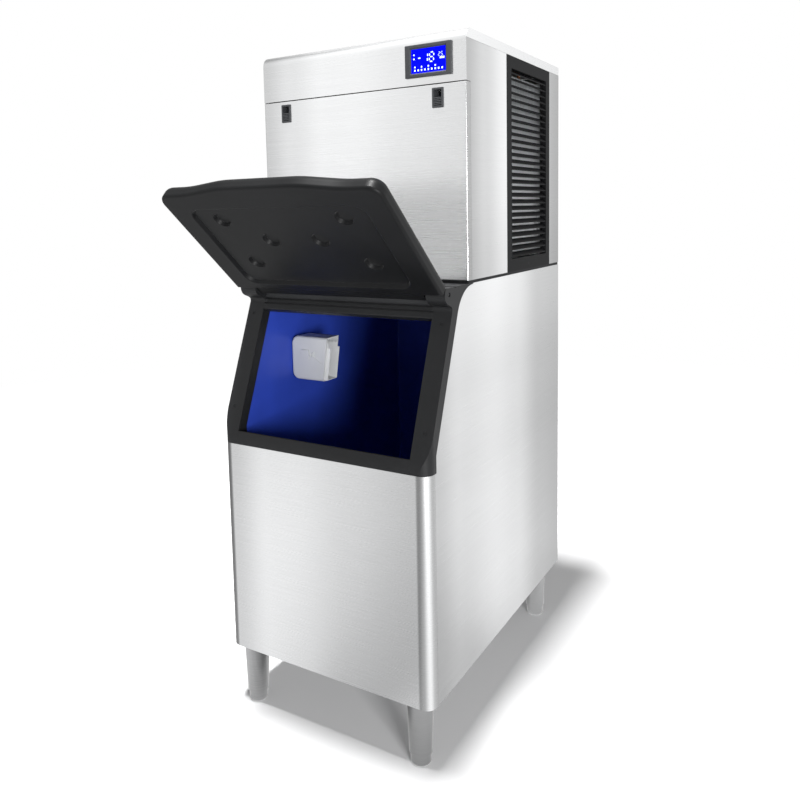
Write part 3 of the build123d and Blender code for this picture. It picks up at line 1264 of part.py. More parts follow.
PUMP_FROM_END = 28.0
PUMP_X = TROUGH_HALF - PUMP_FROM_END
PUMP_Y = (TROUGH_FRONT_Y + BULKHEAD_Y) / 2
PUMP_RADIUS = 24.0
PUMP_HEIGHT = 74.0
PUMP_CHAMFER = 4.0
PUMP_PLATE = 46.0
PUMP_STEM = 7.0
PUMP_FOOT_RADIUS = 20.0
PUMP_FOOT_HEIGHT = 16.0
PUMP_FOOT_Z = TROUGH_LOW_Z + 12.0
MOUNT_CORNER = 4.0
MOUNT_HALF = (BULKHEAD_Y - TROUGH_FRONT_Y) / 2 - 1.0
with BuildPart() as water_pump:
    with BuildSketch(at_z(TROUGH_TOP_Z)):
        with Locations((PUMP_X, PUMP_Y)):
            RectangleRounded(PUMP_PLATE, 2 * MOUNT_HALF, MOUNT_CORNER)
    extrude(amount=RIM_SHEET)
    with BuildSketch(at_z(TROUGH_TOP_Z + RIM_SHEET)):
        with Locations((PUMP_X, PUMP_Y)):
            Circle(PUMP_RADIUS)
    extrude(amount=PUMP_HEIGHT)
    chamfer(water_pump.edges().group_by(Axis.Z)[-1], PUMP_CHAMFER)
    with BuildSketch(at_z(PUMP_FOOT_Z + 2.0)):
        with Locations((PUMP_X, PUMP_Y)):
            Circle(PUMP_STEM)
    extrude(amount=TROUGH_TOP_Z - PUMP_FOOT_Z - 2.0)
    with BuildSketch(at_z(PUMP_FOOT_Z)):
        with Locations((PUMP_X, PUMP_Y)):
            Circle(PUMP_FOOT_RADIUS)
    extrude(amount=PUMP_FOOT_HEIGHT)
keep(water_pump, "water_pump")

HOSE_RADIUS = 7.0
HOSE_X = PUMP_X + 4.0
HOSE_BEND = 20.0
with BuildPart() as pump_hose:
    with BuildLine() as hose_path:
        FilletPolyline(
            (HOSE_X, SPRAY_Y, TROUGH_TOP_Z + RIM_SHEET + PUMP_HEIGHT),
            (HOSE_X, SPRAY_Y, SPRAY_Z),
            (HANGER_X + HANGER_SHEET + 6.0, SPRAY_Y, SPRAY_Z),
            radius=HOSE_BEND,
        )
    with BuildSketch(Plane(origin=hose_path.line @ 0, z_dir=hose_path.line % 0)):
        Circle(HOSE_RADIUS)
    sweep()
keep(pump_hose, "pump_hose")

VALVE_FROM_END = 26.0
VALVE_X = -TROUGH_HALF + VALVE_FROM_END
FLOAT_PIN_X = VALVE_X + 18.0
FLOAT_PIN_Z = TROUGH_TOP_Z - 10.0
FLOAT_ARM = 52.0
FLOAT_RADIUS = 13.0
FLOAT_PIN = 2.0
CHEEK_GAP = 5.0
CHEEK_SHEET = 3.0
CHEEK_REACH = 6.0
CHEEK_RADIUS = 5.0
VALVE_PLATE = 36.0
VALVE_RADIUS = 11.0
VALVE_HEIGHT = 26.0
ARM_BOSS = 4.0
ARM_HALF = 3.5
ARM_DROP = 12.0
ARM_TIP = 6.0
ARM_SHEET = 2.0
FLOAT_DROP = 16.0
with BuildPart() as float_valve:
    with BuildSketch(at_z(TROUGH_TOP_Z)):
        with Locations((VALVE_X, PUMP_Y)):
            RectangleRounded(VALVE_PLATE, 2 * MOUNT_HALF, MOUNT_CORNER)
    extrude(amount=RIM_SHEET)
    with BuildSketch(at_z(TROUGH_TOP_Z + RIM_SHEET)):
        with Locations((VALVE_X, PUMP_Y)):
            Circle(VALVE_RADIUS)
    extrude(amount=VALVE_HEIGHT)
    for cheek in (-1, 1):
        cheek_y = PUMP_Y + cheek * CHEEK_GAP
        slab(
            (FLOAT_PIN_X - CHEEK_REACH, min(cheek_y, cheek_y + CHEEK_SHEET * cheek), FLOAT_PIN_Z - CHEEK_RADIUS),
            (FLOAT_PIN_X, max(cheek_y, cheek_y + CHEEK_SHEET * cheek), TROUGH_TOP_Z),
        )
        with BuildSketch(at_y(max(cheek_y, cheek_y + CHEEK_SHEET * cheek))):
            with Locations((FLOAT_PIN_X, FLOAT_PIN_Z)):
                Circle(CHEEK_RADIUS)
        extrude(amount=CHEEK_SHEET)
    with Locations(at_y(PUMP_Y)):
        with Locations((FLOAT_PIN_X, FLOAT_PIN_Z)):
            Cylinder(FLOAT_PIN + RUNNING, 40.0, mode=Mode.SUBTRACT)
keep(float_valve, "float_valve")

with BuildPart() as float_arm:
    with BuildSketch(at_y(PUMP_Y)):
        with BuildLine():
            Polyline(
                (FLOAT_PIN_X, FLOAT_PIN_Z + ARM_HALF),
                (FLOAT_PIN_X + FLOAT_ARM, FLOAT_PIN_Z - ARM_DROP),
                (FLOAT_PIN_X + FLOAT_ARM, FLOAT_PIN_Z - ARM_DROP - ARM_TIP),
                (FLOAT_PIN_X, FLOAT_PIN_Z - ARM_HALF),
                close=True,
            )
        make_face()
        with Locations((FLOAT_PIN_X, FLOAT_PIN_Z)):
            Circle(ARM_BOSS)
    extrude(amount=ARM_SHEET, both=True)
    with BuildSketch(at_y(PUMP_Y)):
        with Locations((FLOAT_PIN_X, FLOAT_PIN_Z)):
            Circle(FLOAT_PIN)
    extrude(amount=CHEEK_GAP + CHEEK_SHEET, both=True)
    with Locations((FLOAT_PIN_X + FLOAT_ARM, PUMP_Y, FLOAT_PIN_Z - FLOAT_DROP)):
        Sphere(FLOAT_RADIUS)
keep(float_arm, "float_arm")

# Control box under the cover, behind the display
CONTROL_WIDTH = 210.0
CONTROL_INSET = 16.8
CONTROL_FRONT = 30.0
CONTROL_DEPTH = 74.0
CONTROL_BELOW_DISPLAY = 42.0
CONTROL_ROUND = 6.0
with BuildPart() as control_box:
    slab(
        (INNER - CONTROL_INSET - CONTROL_WIDTH, HEAD_FRONT_Y + CONTROL_FRONT, DISPLAY_Z - CONTROL_BELOW_DISPLAY),
        (INNER - CONTROL_INSET, HEAD_FRONT_Y + CONTROL_FRONT + CONTROL_DEPTH, ROOF_Z),
    )
    fillet(control_box.edges().filter_by(Axis.X).group_by(Axis.Z)[0], CONTROL_ROUND)
keep(control_box, "control_box")


# Dry side: condenser, fan, compressor and pipework

CONDENSER_INSET = 22.0
CONDENSER_DEPTH = 30.0
CONDENSER_BEYOND_WINDOW = 16.0
CONDENSER_SHORT_OF_WINDOW = 11.0
CONDENSER_ABOVE_BASE = 36.0
CONDENSER_BELOW_ROOF = 59.3
CONDENSER_X = HALF - CONDENSER_INSET - CONDENSER_DEPTH
CONDENSER_FRONT_Y = BACK_Y - WINDOW_FRONT - CONDENSER_BEYOND_WINDOW
CONDENSER_BACK_Y = BACK_Y - WINDOW_BACK + CONDENSER_SHORT_OF_WINDOW
CONDENSER_LOW_Z = HEAD_BOTTOM + CONDENSER_ABOVE_BASE
CONDENSER_TOP_Z = ROOF_Z - CONDENSER_BELOW_ROOF
END_PLATE = 3.0
PLATE_ABOVE_FINS = 6.0
GROOVE_DEPTH = 4.0
GROOVE_SHARE = 0.3
FIN_GROOVES = 24
CONDENSER_TUBES = 10
with BuildPart() as condenser:
    slab(
        (CONDENSER_X, CONDENSER_FRONT_Y, CONDENSER_LOW_Z),
        (CONDENSER_X + CONDENSER_DEPTH, CONDENSER_BACK_Y, CONDENSER_TOP_Z),
    )
    groove_pitch = (CONDENSER_BACK_Y - CONDENSER_FRONT_Y) / FIN_GROOVES
    for groove in range(FIN_GROOVES):
        groove_y = CONDENSER_FRONT_Y + (groove + 0.5) * groove_pitch
        for groove_x in (CONDENSER_X, CONDENSER_X + CONDENSER_DEPTH):
            slab(
                (groove_x - GROOVE_DEPTH, groove_y - groove_pitch * GROOVE_SHARE, CONDENSER_LOW_Z),
                (groove_x + GROOVE_DEPTH, groove_y + groove_pitch * GROOVE_SHARE, CONDENSER_TOP_Z),
                mode=Mode.SUBTRACT,
            )
    for plate_y in (CONDENSER_FRONT_Y - END_PLATE, CONDENSER_BACK_Y):
        slab(
            (CONDENSER_X, plate_y, BASE_TOP_Z),
            (CONDENSER_X + CONDENSER_DEPTH, plate_y + END_PLATE, CONDENSER_TOP_Z + PLATE_ABOVE_FINS),
        )
    tube_pitch = (CONDENSER_TOP_Z - CONDENSER_LOW_Z) / CONDENSER_TUBES
    tube_x = CONDENSER_X + CONDENSER_DEPTH / 2
    for bend in range(CONDENSER_TUBES - 1):
        bend_z = CONDENSER_LOW_Z + (bend + 1) * tube_pitch
        end_y = CONDENSER_BACK_Y + END_PLATE if bend % 2 == 0 else CONDENSER_FRONT_Y - END_PLATE
        with BuildSketch(at_y(end_y)):
            with Locations((tube_x, bend_z - tube_pitch / 2)):
                Circle(COIL_RADIUS)
        bend_axis = Axis((0, end_y, bend_z), (1, 0, 0))
        revolve(axis=bend_axis, revolution_arc=-180 if bend % 2 == 0 else 180)
keep(condenser, "condenser")

FAN_Y = (CONDENSER_FRONT_Y + CONDENSER_BACK_Y) / 2
FAN_ABOVE_BASE = 270.0
FAN_Z = HEAD_BOTTOM + FAN_ABOVE_BASE
FAN_RADIUS = 118.0
FAN_HUB = 26.0
FAN_WIDTH = 20.0
FAN_SHORT_OF_SHROUD = 19.5
SHAFT_RADIUS = 4.0
SHAFT_IN_MOTOR = 20.0
SHAFT_BORE = 24.0
SHROUD_SEAT = 1.0
SHROUD_SHEET = 1.5
SHROUD_X = CONDENSER_X - SHROUD_SEAT - SHROUD_SHEET
SHROUD_HOLE = FAN_RADIUS + 8.0
SHROUD_COLLAR = 20.0
STRUT_RADIUS = SHROUD_HOLE + 8.0
FAN_X = SHROUD_X - FAN_SHORT_OF_SHROUD - FAN_WIDTH
MOTOR_GAP = 20.0
MOTOR_LENGTH = 62.0
MOTOR_FRONT_X = FAN_X - MOTOR_GAP
MOTOR_BACK_X = MOTOR_FRONT_X - MOTOR_LENGTH
MOTOR_RADIUS = 40.0
MOTOR_ROUND = 8.0
BRACKET_SHEET = 2.5
BRACKET_ARM = 12.0
BRACKET_LEG = 5.0
BRACKET_HOLE = SHAFT_RADIUS + 6.0
ARM_START = MOTOR_RADIUS / 2 + 6.0
with BuildPart() as fan_shroud:
    slab(
        (SHROUD_X, CONDENSER_FRONT_Y - END_PLATE, BASE_TOP_Z),
        (SHROUD_X + SHROUD_SHEET, CONDENSER_BACK_Y + END_PLATE, CONDENSER_TOP_Z + PLATE_ABOVE_FINS),
    )
    with BuildSketch(at_x(SHROUD_X)):
        with Locations((FAN_Y, FAN_Z)):
            Circle(SHROUD_HOLE + SHROUD_SHEET)
    extrude(amount=-SHROUD_COLLAR)
    with BuildSketch(at_x(SHROUD_X + 2 * SHROUD_SHEET)):
        with Locations((FAN_Y, FAN_Z)):
            Circle(SHROUD_HOLE)
    extrude(amount=-SHROUD_COLLAR - 4 * SHROUD_SHEET, mode=Mode.SUBTRACT)
keep(fan_shroud, "fan_shroud")

with BuildPart() as fan_motor:
    with BuildSketch(at_x(MOTOR_BACK_X)):
        with Locations((FAN_Y, FAN_Z)):
            Circle(MOTOR_RADIUS)
    extrude(amount=MOTOR_FRONT_X - MOTOR_BACK_X)
    fillet(fan_motor.edges().group_by(Axis.X)[0], MOTOR_ROUND)
    with BuildSketch(at_x(MOTOR_FRONT_X)):
        with Locations((FAN_Y, FAN_Z)):
            Circle(SHAFT_RADIUS + RUNNING)
    extrude(amount=-SHAFT_BORE, mode=Mode.SUBTRACT)
keep(fan_motor, "fan_motor")

with BuildPart() as motor_bracket:
    with BuildSketch(at_x(MOTOR_FRONT_X)):
        with Locations((FAN_Y, FAN_Z)):
            Circle(MOTOR_RADIUS)
            Circle(BRACKET_HOLE, mode=Mode.SUBTRACT)
            with PolarLocations(ARM_START, 4, start_angle=45):
                Rectangle(STRUT_RADIUS + 8.0 - ARM_START, BRACKET_ARM, align=(Align.MIN, Align.CENTER))
    extrude(amount=BRACKET_SHEET)
    with BuildSketch(at_x(MOTOR_FRONT_X)):
        with Locations((FAN_Y, FAN_Z)):
            with PolarLocations(STRUT_RADIUS + 4.0, 4, start_angle=45):
                Rectangle(BRACKET_LEG, BRACKET_ARM)
    extrude(amount=SHROUD_X - MOTOR_FRONT_X)
keep(motor_bracket, "motor_bracket")

FAN_BLADES = 5
HUB_CHAMFER = 4.0
BLADE_SUNK = 3.0
BLADE_SHEET = 2.2
BLADE_ROOT = (26.0, 38)
BLADE_TIP = (48.0, 22)
with BuildPart() as fan:
    with BuildSketch(at_x(FAN_X)):
        with Locations((FAN_Y, FAN_Z)):
            Circle(FAN_HUB)
    extrude(amount=FAN_WIDTH)
    chamfer(fan.edges().group_by(Axis.X)[-1], HUB_CHAMFER)
    with BuildSketch(at_x(MOTOR_FRONT_X - SHAFT_IN_MOTOR)):
        with Locations((FAN_Y, FAN_Z)):
            Circle(SHAFT_RADIUS)
    extrude(amount=FAN_X - MOTOR_FRONT_X + SHAFT_IN_MOTOR)
    fan_axis = Axis((0, FAN_Y, FAN_Z), (1, 0, 0))
    for blade in range(FAN_BLADES):
        turn = 360.0 * blade / FAN_BLADES
        blade_base = Plane(origin=(FAN_X + FAN_WIDTH / 2, FAN_Y, FAN_Z), x_dir=(1, 0, 0), z_dir=(0, 0, 1))
        blade_plane = blade_base.rotated((turn, 0, 0))
        with BuildSketch(blade_plane.offset(FAN_HUB - BLADE_SUNK).rotated((0, 0, BLADE_ROOT[1]))):
            Rectangle(BLADE_SHEET, BLADE_ROOT[0])
        with BuildSketch(blade_plane.offset(FAN_RADIUS).rotated((0, 0, BLADE_TIP[1]))):
            Rectangle(BLADE_SHEET, BLADE_TIP[0])
        loft()
keep(fan, "fan")

COMPRESSOR_X = -130.0
COMPRESSOR_FROM_BACK = 215.0
COMPRESSOR_Y = BACK_Y - COMPRESSOR_FROM_BACK
COMPRESSOR_RADIUS = 76.0
RUBBER_HEIGHT = 20.0
RUBBER_RADIUS = 11.0
RUBBER_SPAN = 150.0
COMPRESSOR_Z = BASE_TOP_Z + RUBBER_HEIGHT
CAN_HEIGHT = 200.0
CAN_DOME = 40.0
CAN_FOOT = 14.0
CAN_PLATE = 3.0
PLATE_BEYOND = 15.0
CAN_SEAM = 4.0
CAN_SEAM_HEIGHT = 5.0
BOX_HALF = 24.0
BOX_PROUD = 16.0
BOX_SUNK = 10.0
BOX_Z = (60.0, 104.0)
with BuildPart() as compressor_mounts:
    with BuildSketch(at_z(BASE_TOP_Z)):
        with Locations((COMPRESSOR_X, COMPRESSOR_Y)):
            with GridLocations(RUBBER_SPAN, RUBBER_SPAN, 2, 2):
                Circle(RUBBER_RADIUS)
    extrude(amount=RUBBER_HEIGHT)
keep(compressor_mounts, "compressor_mounts")

with BuildPart() as compressor:
    with BuildSketch(at_z(COMPRESSOR_Z)):
        with Locations((COMPRESSOR_X, COMPRESSOR_Y)):
            RectangleRounded(RUBBER_SPAN + 2 * PLATE_BEYOND, RUBBER_SPAN + 2 * PLATE_BEYOND, CAN_FOOT)
    extrude(amount=CAN_PLATE)
    can_plane = Plane(origin=(COMPRESSOR_X, COMPRESSOR_Y, COMPRESSOR_Z + CAN_PLATE), x_dir=(1, 0, 0), z_dir=(0, -1, 0))
    with BuildSketch(can_plane) as can_side:
        Rectangle(COMPRESSOR_RADIUS, CAN_HEIGHT, align=(Align.MIN, Align.MIN))
        fillet(can_side.vertices().sort_by_distance((COMPRESSOR_RADIUS, CAN_HEIGHT))[0], CAN_DOME)
        fillet(can_side.vertices().sort_by_distance((COMPRESSOR_RADIUS, 0))[0], CAN_FOOT)
        with Locations((0, CAN_HEIGHT / 2)):
            Rectangle(COMPRESSOR_RADIUS + CAN_SEAM, CAN_SEAM_HEIGHT, align=(Align.MIN, Align.CENTER))
    revolve(axis=Axis((COMPRESSOR_X, COMPRESSOR_Y, 0), (0, 0, 1)))
    slab(
        (COMPRESSOR_X + COMPRESSOR_RADIUS - BOX_SUNK, COMPRESSOR_Y - BOX_HALF, COMPRESSOR_Z + BOX_Z[0]),
        (COMPRESSOR_X + COMPRESSOR_RADIUS + BOX_PROUD, COMPRESSOR_Y + BOX_HALF, COMPRESSOR_Z + BOX_Z[1]),
    )
keep(compressor, "compressor")

# Pipes: hot gas from the can to the condenser, and liquid through the drier to the evaporator coil
LINE_RADIUS = 4.0
DRIER_RADIUS = 15.0
DRIER_X = 30.0
DRIER_Y = BULKHEAD_Y + 60.0
DRIER_LOW_Z = HEAD_BOTTOM + 210.0
DRIER_LENGTH = 110.0
DRIER_CONE = 16.0
DRIER_MOUTH = LINE_RADIUS + 1.5
with BuildPart() as filter_drier:
    drier_plane = Plane(origin=(DRIER_X, DRIER_Y, DRIER_LOW_Z), x_dir=(1, 0, 0), z_dir=(0, -1, 0))
    with BuildSketch(drier_plane):
        with BuildLine():
            Polyline(
                (0, 0),
                (DRIER_MOUTH, 0),
                (DRIER_RADIUS, DRIER_CONE),
                (DRIER_RADIUS, DRIER_LENGTH - DRIER_CONE),
                (DRIER_MOUTH, DRIER_LENGTH),
                (0, DRIER_LENGTH),
                close=True,
            )
        make_face()
    revolve(axis=Axis((DRIER_X, DRIER_Y, 0), (0, 0, 1)))
keep(filter_drier, "filter_drier")

PIPE_BEND = 14.0
PIPE_SEAT = 0.2
HOT_GAS_Z = CONDENSER_TOP_Z + 26.0
LIQUID_Z = BASE_TOP_Z + 24.0
LIQUID_X = tube_x - 40.0
LIQUID_Y = CONDENSER_FRONT_Y - 16.0
SUCTION_X = -20.0
SUCTION_Y = BULKHEAD_Y + 48.0
PIPE_ROUTES = {
    "hot_gas_pipe": [
        (COMPRESSOR_X, COMPRESSOR_Y, COMPRESSOR_Z + CAN_PLATE + CAN_HEIGHT + PIPE_SEAT),
        (COMPRESSOR_X, COMPRESSOR_Y, HOT_GAS_Z),
        (tube_x, COMPRESSOR_Y, HOT_GAS_Z),
        (tube_x, COMPRESSOR_Y, CONDENSER_TOP_Z + PIPE_SEAT / 2),
    ],
    "liquid_pipe": [
        (DRIER_X, DRIER_Y, DRIER_LOW_Z + DRIER_LENGTH),
        (DRIER_X, DRIER_Y, COIL_PORT_Z[1]),
        (COIL_PORT_X, DRIER_Y, COIL_PORT_Z[1]),
        (COIL_PORT_X, COIL_END_Y, COIL_PORT_Z[1]),
    ],
    "condenser_pipe": [
        (DRIER_X, DRIER_Y, DRIER_LOW_Z),
        (DRIER_X, DRIER_Y, LIQUID_Z),
        (LIQUID_X, DRIER_Y, LIQUID_Z),
        (LIQUID_X, LIQUID_Y, LIQUID_Z),
        (tube_x, LIQUID_Y, LIQUID_Z),
        (tube_x, CONDENSER_FRONT_Y - END_PLATE - PIPE_SEAT / 2, LIQUID_Z),
    ],
    "suction_pipe": [
        (COIL_PORT_X, COIL_END_Y, COIL_PORT_Z[0]),
        (COIL_PORT_X, SUCTION_Y, COIL_PORT_Z[0]),
        (SUCTION_X, SUCTION_Y, COIL_PORT_Z[0]),
        (SUCTION_X, COMPRESSOR_Y, COIL_PORT_Z[0]),
        (COMPRESSOR_X + COMPRESSOR_RADIUS + PIPE_SEAT, COMPRESSOR_Y, COIL_PORT_Z[0]),
    ],
}
with BuildPart() as refrigerant_pipes:
    for route in PIPE_ROUTES.values():
        shortest = min((Vector(a) - Vector(b)).length for a, b in zip(route, route[1:]))
        with BuildLine() as pipe_path:
            FilletPolyline(*route, radius=min(PIPE_BEND, 0.45 * shortest))
        with BuildSketch(Plane(origin=pipe_path.line @ 0, z_dir=pipe_path.line % 0)):
            Circle(LINE_RADIUS)
        sweep(path=pipe_path.line)
keep(refrigerant_pipes, "refrigerant_pipes")

# Fittings through the back panel: water inlet valve, drain outlet and the gland for the supply lead
COLLAR = 3.0
TUBE_WALL = 2.0
VALVE_FLANGE = 6.0
INLET_PLATE = 44.0
INLET_NECK = 16.0
INLET_NECK_LENGTH = 30.0
COIL_BODY_RADIUS = 13.0
COIL_BODY_HEIGHT = 44.0
COIL_BODY_IN = 24.0
GLAND_OUT = 12.0
GLAND_IN = 8.0
with BuildPart() as water_inlet:
    with BuildSketch(at_y(BACK_Y + REAR_REACH)):
        with Locations((INLET_X, INLET_Z)):
            Circle(THREAD_RADIUS)
            Circle(PIPE_BORE, mode=Mode.SUBTRACT)
    extrude(amount=REAR_REACH + SHEET)
    with BuildSketch(at_y(BACK_Y + FITTING_HEX)):
        with Locations((INLET_X, INLET_Z)):
            RegularPolygon(THREAD_RADIUS + NUT_PROUD, 6)
            Circle(PIPE_BORE, mode=Mode.SUBTRACT)
    extrude(amount=FITTING_HEX)
    with BuildSketch(at_y(BACK_Y - SHEET)):
        with Locations((INLET_X, INLET_Z)):
            RectangleRounded(INLET_PLATE, INLET_PLATE, VALVE_FLANGE)
    extrude(amount=VALVE_FLANGE)
    with BuildSketch(at_y(BACK_Y - SHEET - VALVE_FLANGE)):
        with Locations((INLET_X, INLET_Z)):
            Circle(INLET_NECK)
    extrude(amount=INLET_NECK_LENGTH)
    with BuildSketch(at_z(INLET_Z)):
        with Locations((INLET_X, BACK_Y - SHEET - COIL_BODY_IN)):
            Circle(COIL_BODY_RADIUS)
    extrude(amount=COIL_BODY_HEIGHT)
keep(water_inlet, "water_inlet")

with BuildPart() as head_drain:
    with BuildSketch(at_y(BACK_Y + REAR_REACH)):
        with Locations((OUTLET_X, OUTLET_Z)):
            Circle(TUBE_RADIUS)
            Circle(TUBE_RADIUS - TUBE_WALL, mode=Mode.SUBTRACT)
    extrude(amount=REAR_REACH + 40.0)
    with BuildSketch(at_y(BACK_Y + COLLAR)):
        with Locations((OUTLET_X, OUTLET_Z)):
            Circle(TUBE_RADIUS + 5.0)
            Circle(TUBE_RADIUS - TUBE_WALL, mode=Mode.SUBTRACT)
    extrude(amount=COLLAR)
keep(head_drain, "head_drain")

with BuildPart() as power_gland:
    with BuildSketch(at_y(BACK_Y + GLAND_OUT)):
        with Locations((GLAND_X, GLAND_Z)):
            Circle(GLAND_RADIUS)
            Circle(GLAND_BORE, mode=Mode.SUBTRACT)
    extrude(amount=GLAND_OUT + SHEET + GLAND_IN)
    with BuildSketch(at_y(BACK_Y + FITTING_HEX)):
        with Locations((GLAND_X, GLAND_Z)):
            RegularPolygon(GLAND_RADIUS + 4.0, 6)
            Circle(GLAND_BORE, mode=Mode.SUBTRACT)
    extrude(amount=FITTING_HEX)
keep(power_gland, "power_gland")
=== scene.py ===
import json
import math

import bmesh
import bpy
from mathutils import Matrix, Vector


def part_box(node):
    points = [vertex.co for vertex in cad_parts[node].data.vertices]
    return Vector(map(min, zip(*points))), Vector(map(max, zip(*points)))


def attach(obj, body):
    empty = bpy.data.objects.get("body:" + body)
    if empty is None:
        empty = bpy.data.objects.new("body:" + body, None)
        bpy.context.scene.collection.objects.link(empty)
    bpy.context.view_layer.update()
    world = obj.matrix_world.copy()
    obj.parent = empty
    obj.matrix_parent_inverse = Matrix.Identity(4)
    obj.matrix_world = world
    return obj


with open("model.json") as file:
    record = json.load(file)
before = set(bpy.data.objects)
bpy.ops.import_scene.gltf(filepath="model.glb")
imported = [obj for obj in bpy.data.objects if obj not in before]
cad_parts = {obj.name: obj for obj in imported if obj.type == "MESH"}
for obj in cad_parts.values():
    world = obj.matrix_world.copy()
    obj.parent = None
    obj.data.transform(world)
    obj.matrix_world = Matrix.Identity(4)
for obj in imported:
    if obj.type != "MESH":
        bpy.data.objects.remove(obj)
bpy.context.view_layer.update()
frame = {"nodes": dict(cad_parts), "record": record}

bl_info = {
    "name": "Cube ice machine",
    "version": (1, 0, 0),
    "blender": (4, 5, 0),
    "location": "3D View > Sidebar > Ice machine",
    "description": "Finishes, fine pieces and a studio for a modular cube ice machine",
    "category": "Object",
}

MM = 0.001

# Camera of the photograph: turns in degrees, place in metres, lens and sensor in millimetres
CAMERA_YAW = 31.7
CAMERA_PITCH = -5.8
CAMERA_ROLL = -1.3
CAMERA_X = 0.995
CAMERA_BEFORE_BACK = 2.19251
CAMERA_Z = 1.210
CAMERA_LENS = 34.79
CAMERA_SENSOR = 36.0
CAMERA_SHIFT = (0.0356, -0.1378)

# Strength of the soft light on matt surfaces
SOFT_LIGHT = 0.27

# Compass angle in degrees from the machine's right side, and how bright the mirrored room is there
ROOM_TONES = (
    (-180, 0.35), (-160, 0.75), (-145, 1.2), (-134, 1.38), (-125, 1.26), (-113, 0.92), (-100, 0.5),
    (-86, 0.34), (-70, 0.95), (-40, 1.1), (20, 1.0), (50, 1.5), (61, 1.45), (71, 0.94), (82, 0.55),
    (100, 0.55), (125, 0.8), (150, 0.45), (180, 0.35),
)

# Floor: its radius and tone, where it turns white, and how it is mirrored by metal
FLOOR_RADIUS = 40.0
FLOOR_TONE = (0.86, 0.86, 0.865, 1)
FLOOR_WHITENS = (1.5, 4.5)
FLOOR_MIRROR_TONE = 0.76
FLOOR_MIRROR_SHARE = 0.8

# Lamps: name, place, aim, side and power
LAMPS = (
    ("roof_lamp", (-0.3, -1.3, 9.0), (0, 0, 0), 1.2, 1600),
    ("front_lamp", (2.9, -2.6, 0.95), (0, -0.2, 0.8), 1.0, 120),
)

# Painted sheen of the steel, bands of painted reflection: a share of the way, and how bright the metal is painted
# there
HEAD_SHEEN = ((-1, 0.68), (-0.7, 0.88), (-0.34, 1.05), (0, 1.08), (0.4, 1.03), (1, 1.02))
FRONT_SHEEN = ((-0.52, 0.96), (-0.22, 0.97), (0.28, 0.9))
FLAT_END_SHEEN = ((0.98, 0.84), (0.998, 0.42))
LEFT_CORNER_SHEEN = ((0, 0.2), (0.8, 0.22), (0.93, 0.36), (1.02, 0.7))
RIGHT_CORNER_SHEEN = ((0.7, 0.5), (0.23, 1.08), (0.02, 0.6), (0, 0.55))
SIDE_SHEEN = ((0, 0.62), (0.16, 0.8), (0.42, 0.93), (0.58, 0.88), (0.8, 0.64), (1, 0.6))
# Painted sheen that brightens the bin's sides towards the top
SIDE_SHEEN_RISE = ((0, 0.87), (0.22, 0.92), (0.5, 1.0), (0.72, 1.14), (0.94, 1.33), (1, 1.34))
WALL_SHEEN = ((0, 0.58), (0.16, 0.8), (0.36, 1.08), (0.6, 0.9), (1, 0.52))

# Painted shade on the bent return of the head's front pan: where it starts inside the edge, and how dark it is
# painted
RETURN_DEPTH = 2.5 * MM
RETURN_PAINTED_SHADE = 0.5

# Painted reflection: how pale the door is painted for glossy rays, so the steel mirrors it palely
DOOR_PAINTED_REFLECTION = 0.22

# Display: signs by shares of their height, and texts and marks in millimetres from the screen's middle
DIGIT_WIDTH = 0.52
DIGIT_BAR = 0.13
DIGIT_GAP = 0.24
DIGIT_SLOPE = 0.08
DIGIT_RISE = 0.15 * MM
DISPLAY_TEXTS = (("-18", -7, 6, 1.0), ("25", 30, 10, 0.42))
BAR_MARKS = [(-34 + 8.5 * i, -20) for i in range(9)] + [(30 + 4 * i, 2) for i in range(3)]
DOT_MARKS = ((-36, 14), (-36, 5), (-34, -13), (-17, -13), (0, -13), (17, -13))
BAR_MARK_SIZE = (1.7 * MM, 4.0 * MM, 0.8 * MM)
DOT_MARK_SIZE = (1.9 * MM, 1.9 * MM, 0.8 * MM)

# Bars that make each sign: a on top, b and c on the right, d below, e and f on the left, g in the middle
SEGMENTS = {
    "0": "abcdef", "1": "bc", "2": "abged", "3": "abgcd", "4": "fgbc", "5": "afgcd", "6": "afgedc",
    "7": "abc", "8": "abcdefg", "9": "abcdfg", "-": "g",
}

# Screws of the back panels: their distance from the panel's edges, and how many stand one above another
HEAD_SCREW_INSET = 14 * MM
BIN_SCREW_INSET = 10 * MM
BIN_SCREW_END = 16 * MM
BIN_SCREW_ROWS = 5

# Pipe threads: the plain length at each end, the ridge's size and how deep it is sunk
THREAD_RUNOUT = 1.2 * MM
THREAD_RIDGE = 0.5 * MM
THREAD_SUNK = 0.1 * MM


# Helpers for meshes and objects

def new_object(name, mesh, body):
    piece = bpy.data.objects.new(name, mesh)
    bpy.context.scene.collection.objects.link(piece)
    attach(piece, body)


def mesh_from(bm, name, material=None):
    bmesh.ops.remove_doubles(bm, verts=bm.verts, dist=1e-6)
    bmesh.ops.recalc_face_normals(bm, faces=bm.faces)
    mesh = bpy.data.meshes.new(name)
    bm.to_mesh(mesh)
    bm.free()
    if material:
        mesh.materials.append(material)
    return mesh


def add_wall(bm, low, high):
    """Faces between two loops that have as many points."""
    count = len(low)
    for i in range(count):
        bm.faces.new((low[i], low[(i + 1) % count], high[(i + 1) % count], high[i]))


def add_prism(bm, outline, matrix, height):
    """A straight prism with a flat outline, placed by a matrix."""
    low = [bm.verts.new(matrix @ Vector((x, y, 0))) for x, y in outline]
    high = [bm.verts.new(matrix @ Vector((x, y, height))) for x, y in outline]
    bm.faces.new(reversed(low))
    bm.faces.new(high)
    add_wall(bm, low, high)


def ring(radius, sides):
    angles = [2 * math.pi * i / sides for i in range(sides)]
    return [(radius * math.cos(angle), radius * math.sin(angle)) for angle in angles]


def paint(material, *nodes):
    """Gives CAD nodes their finish."""
    for name in nodes:
        for slot in frame["nodes"][name].material_slots:
            slot.material = material


# Helpers for shader nodes

def math_node(nodes, operation):
    node = nodes.new("ShaderNodeMath")
    node.operation = operation
    return node


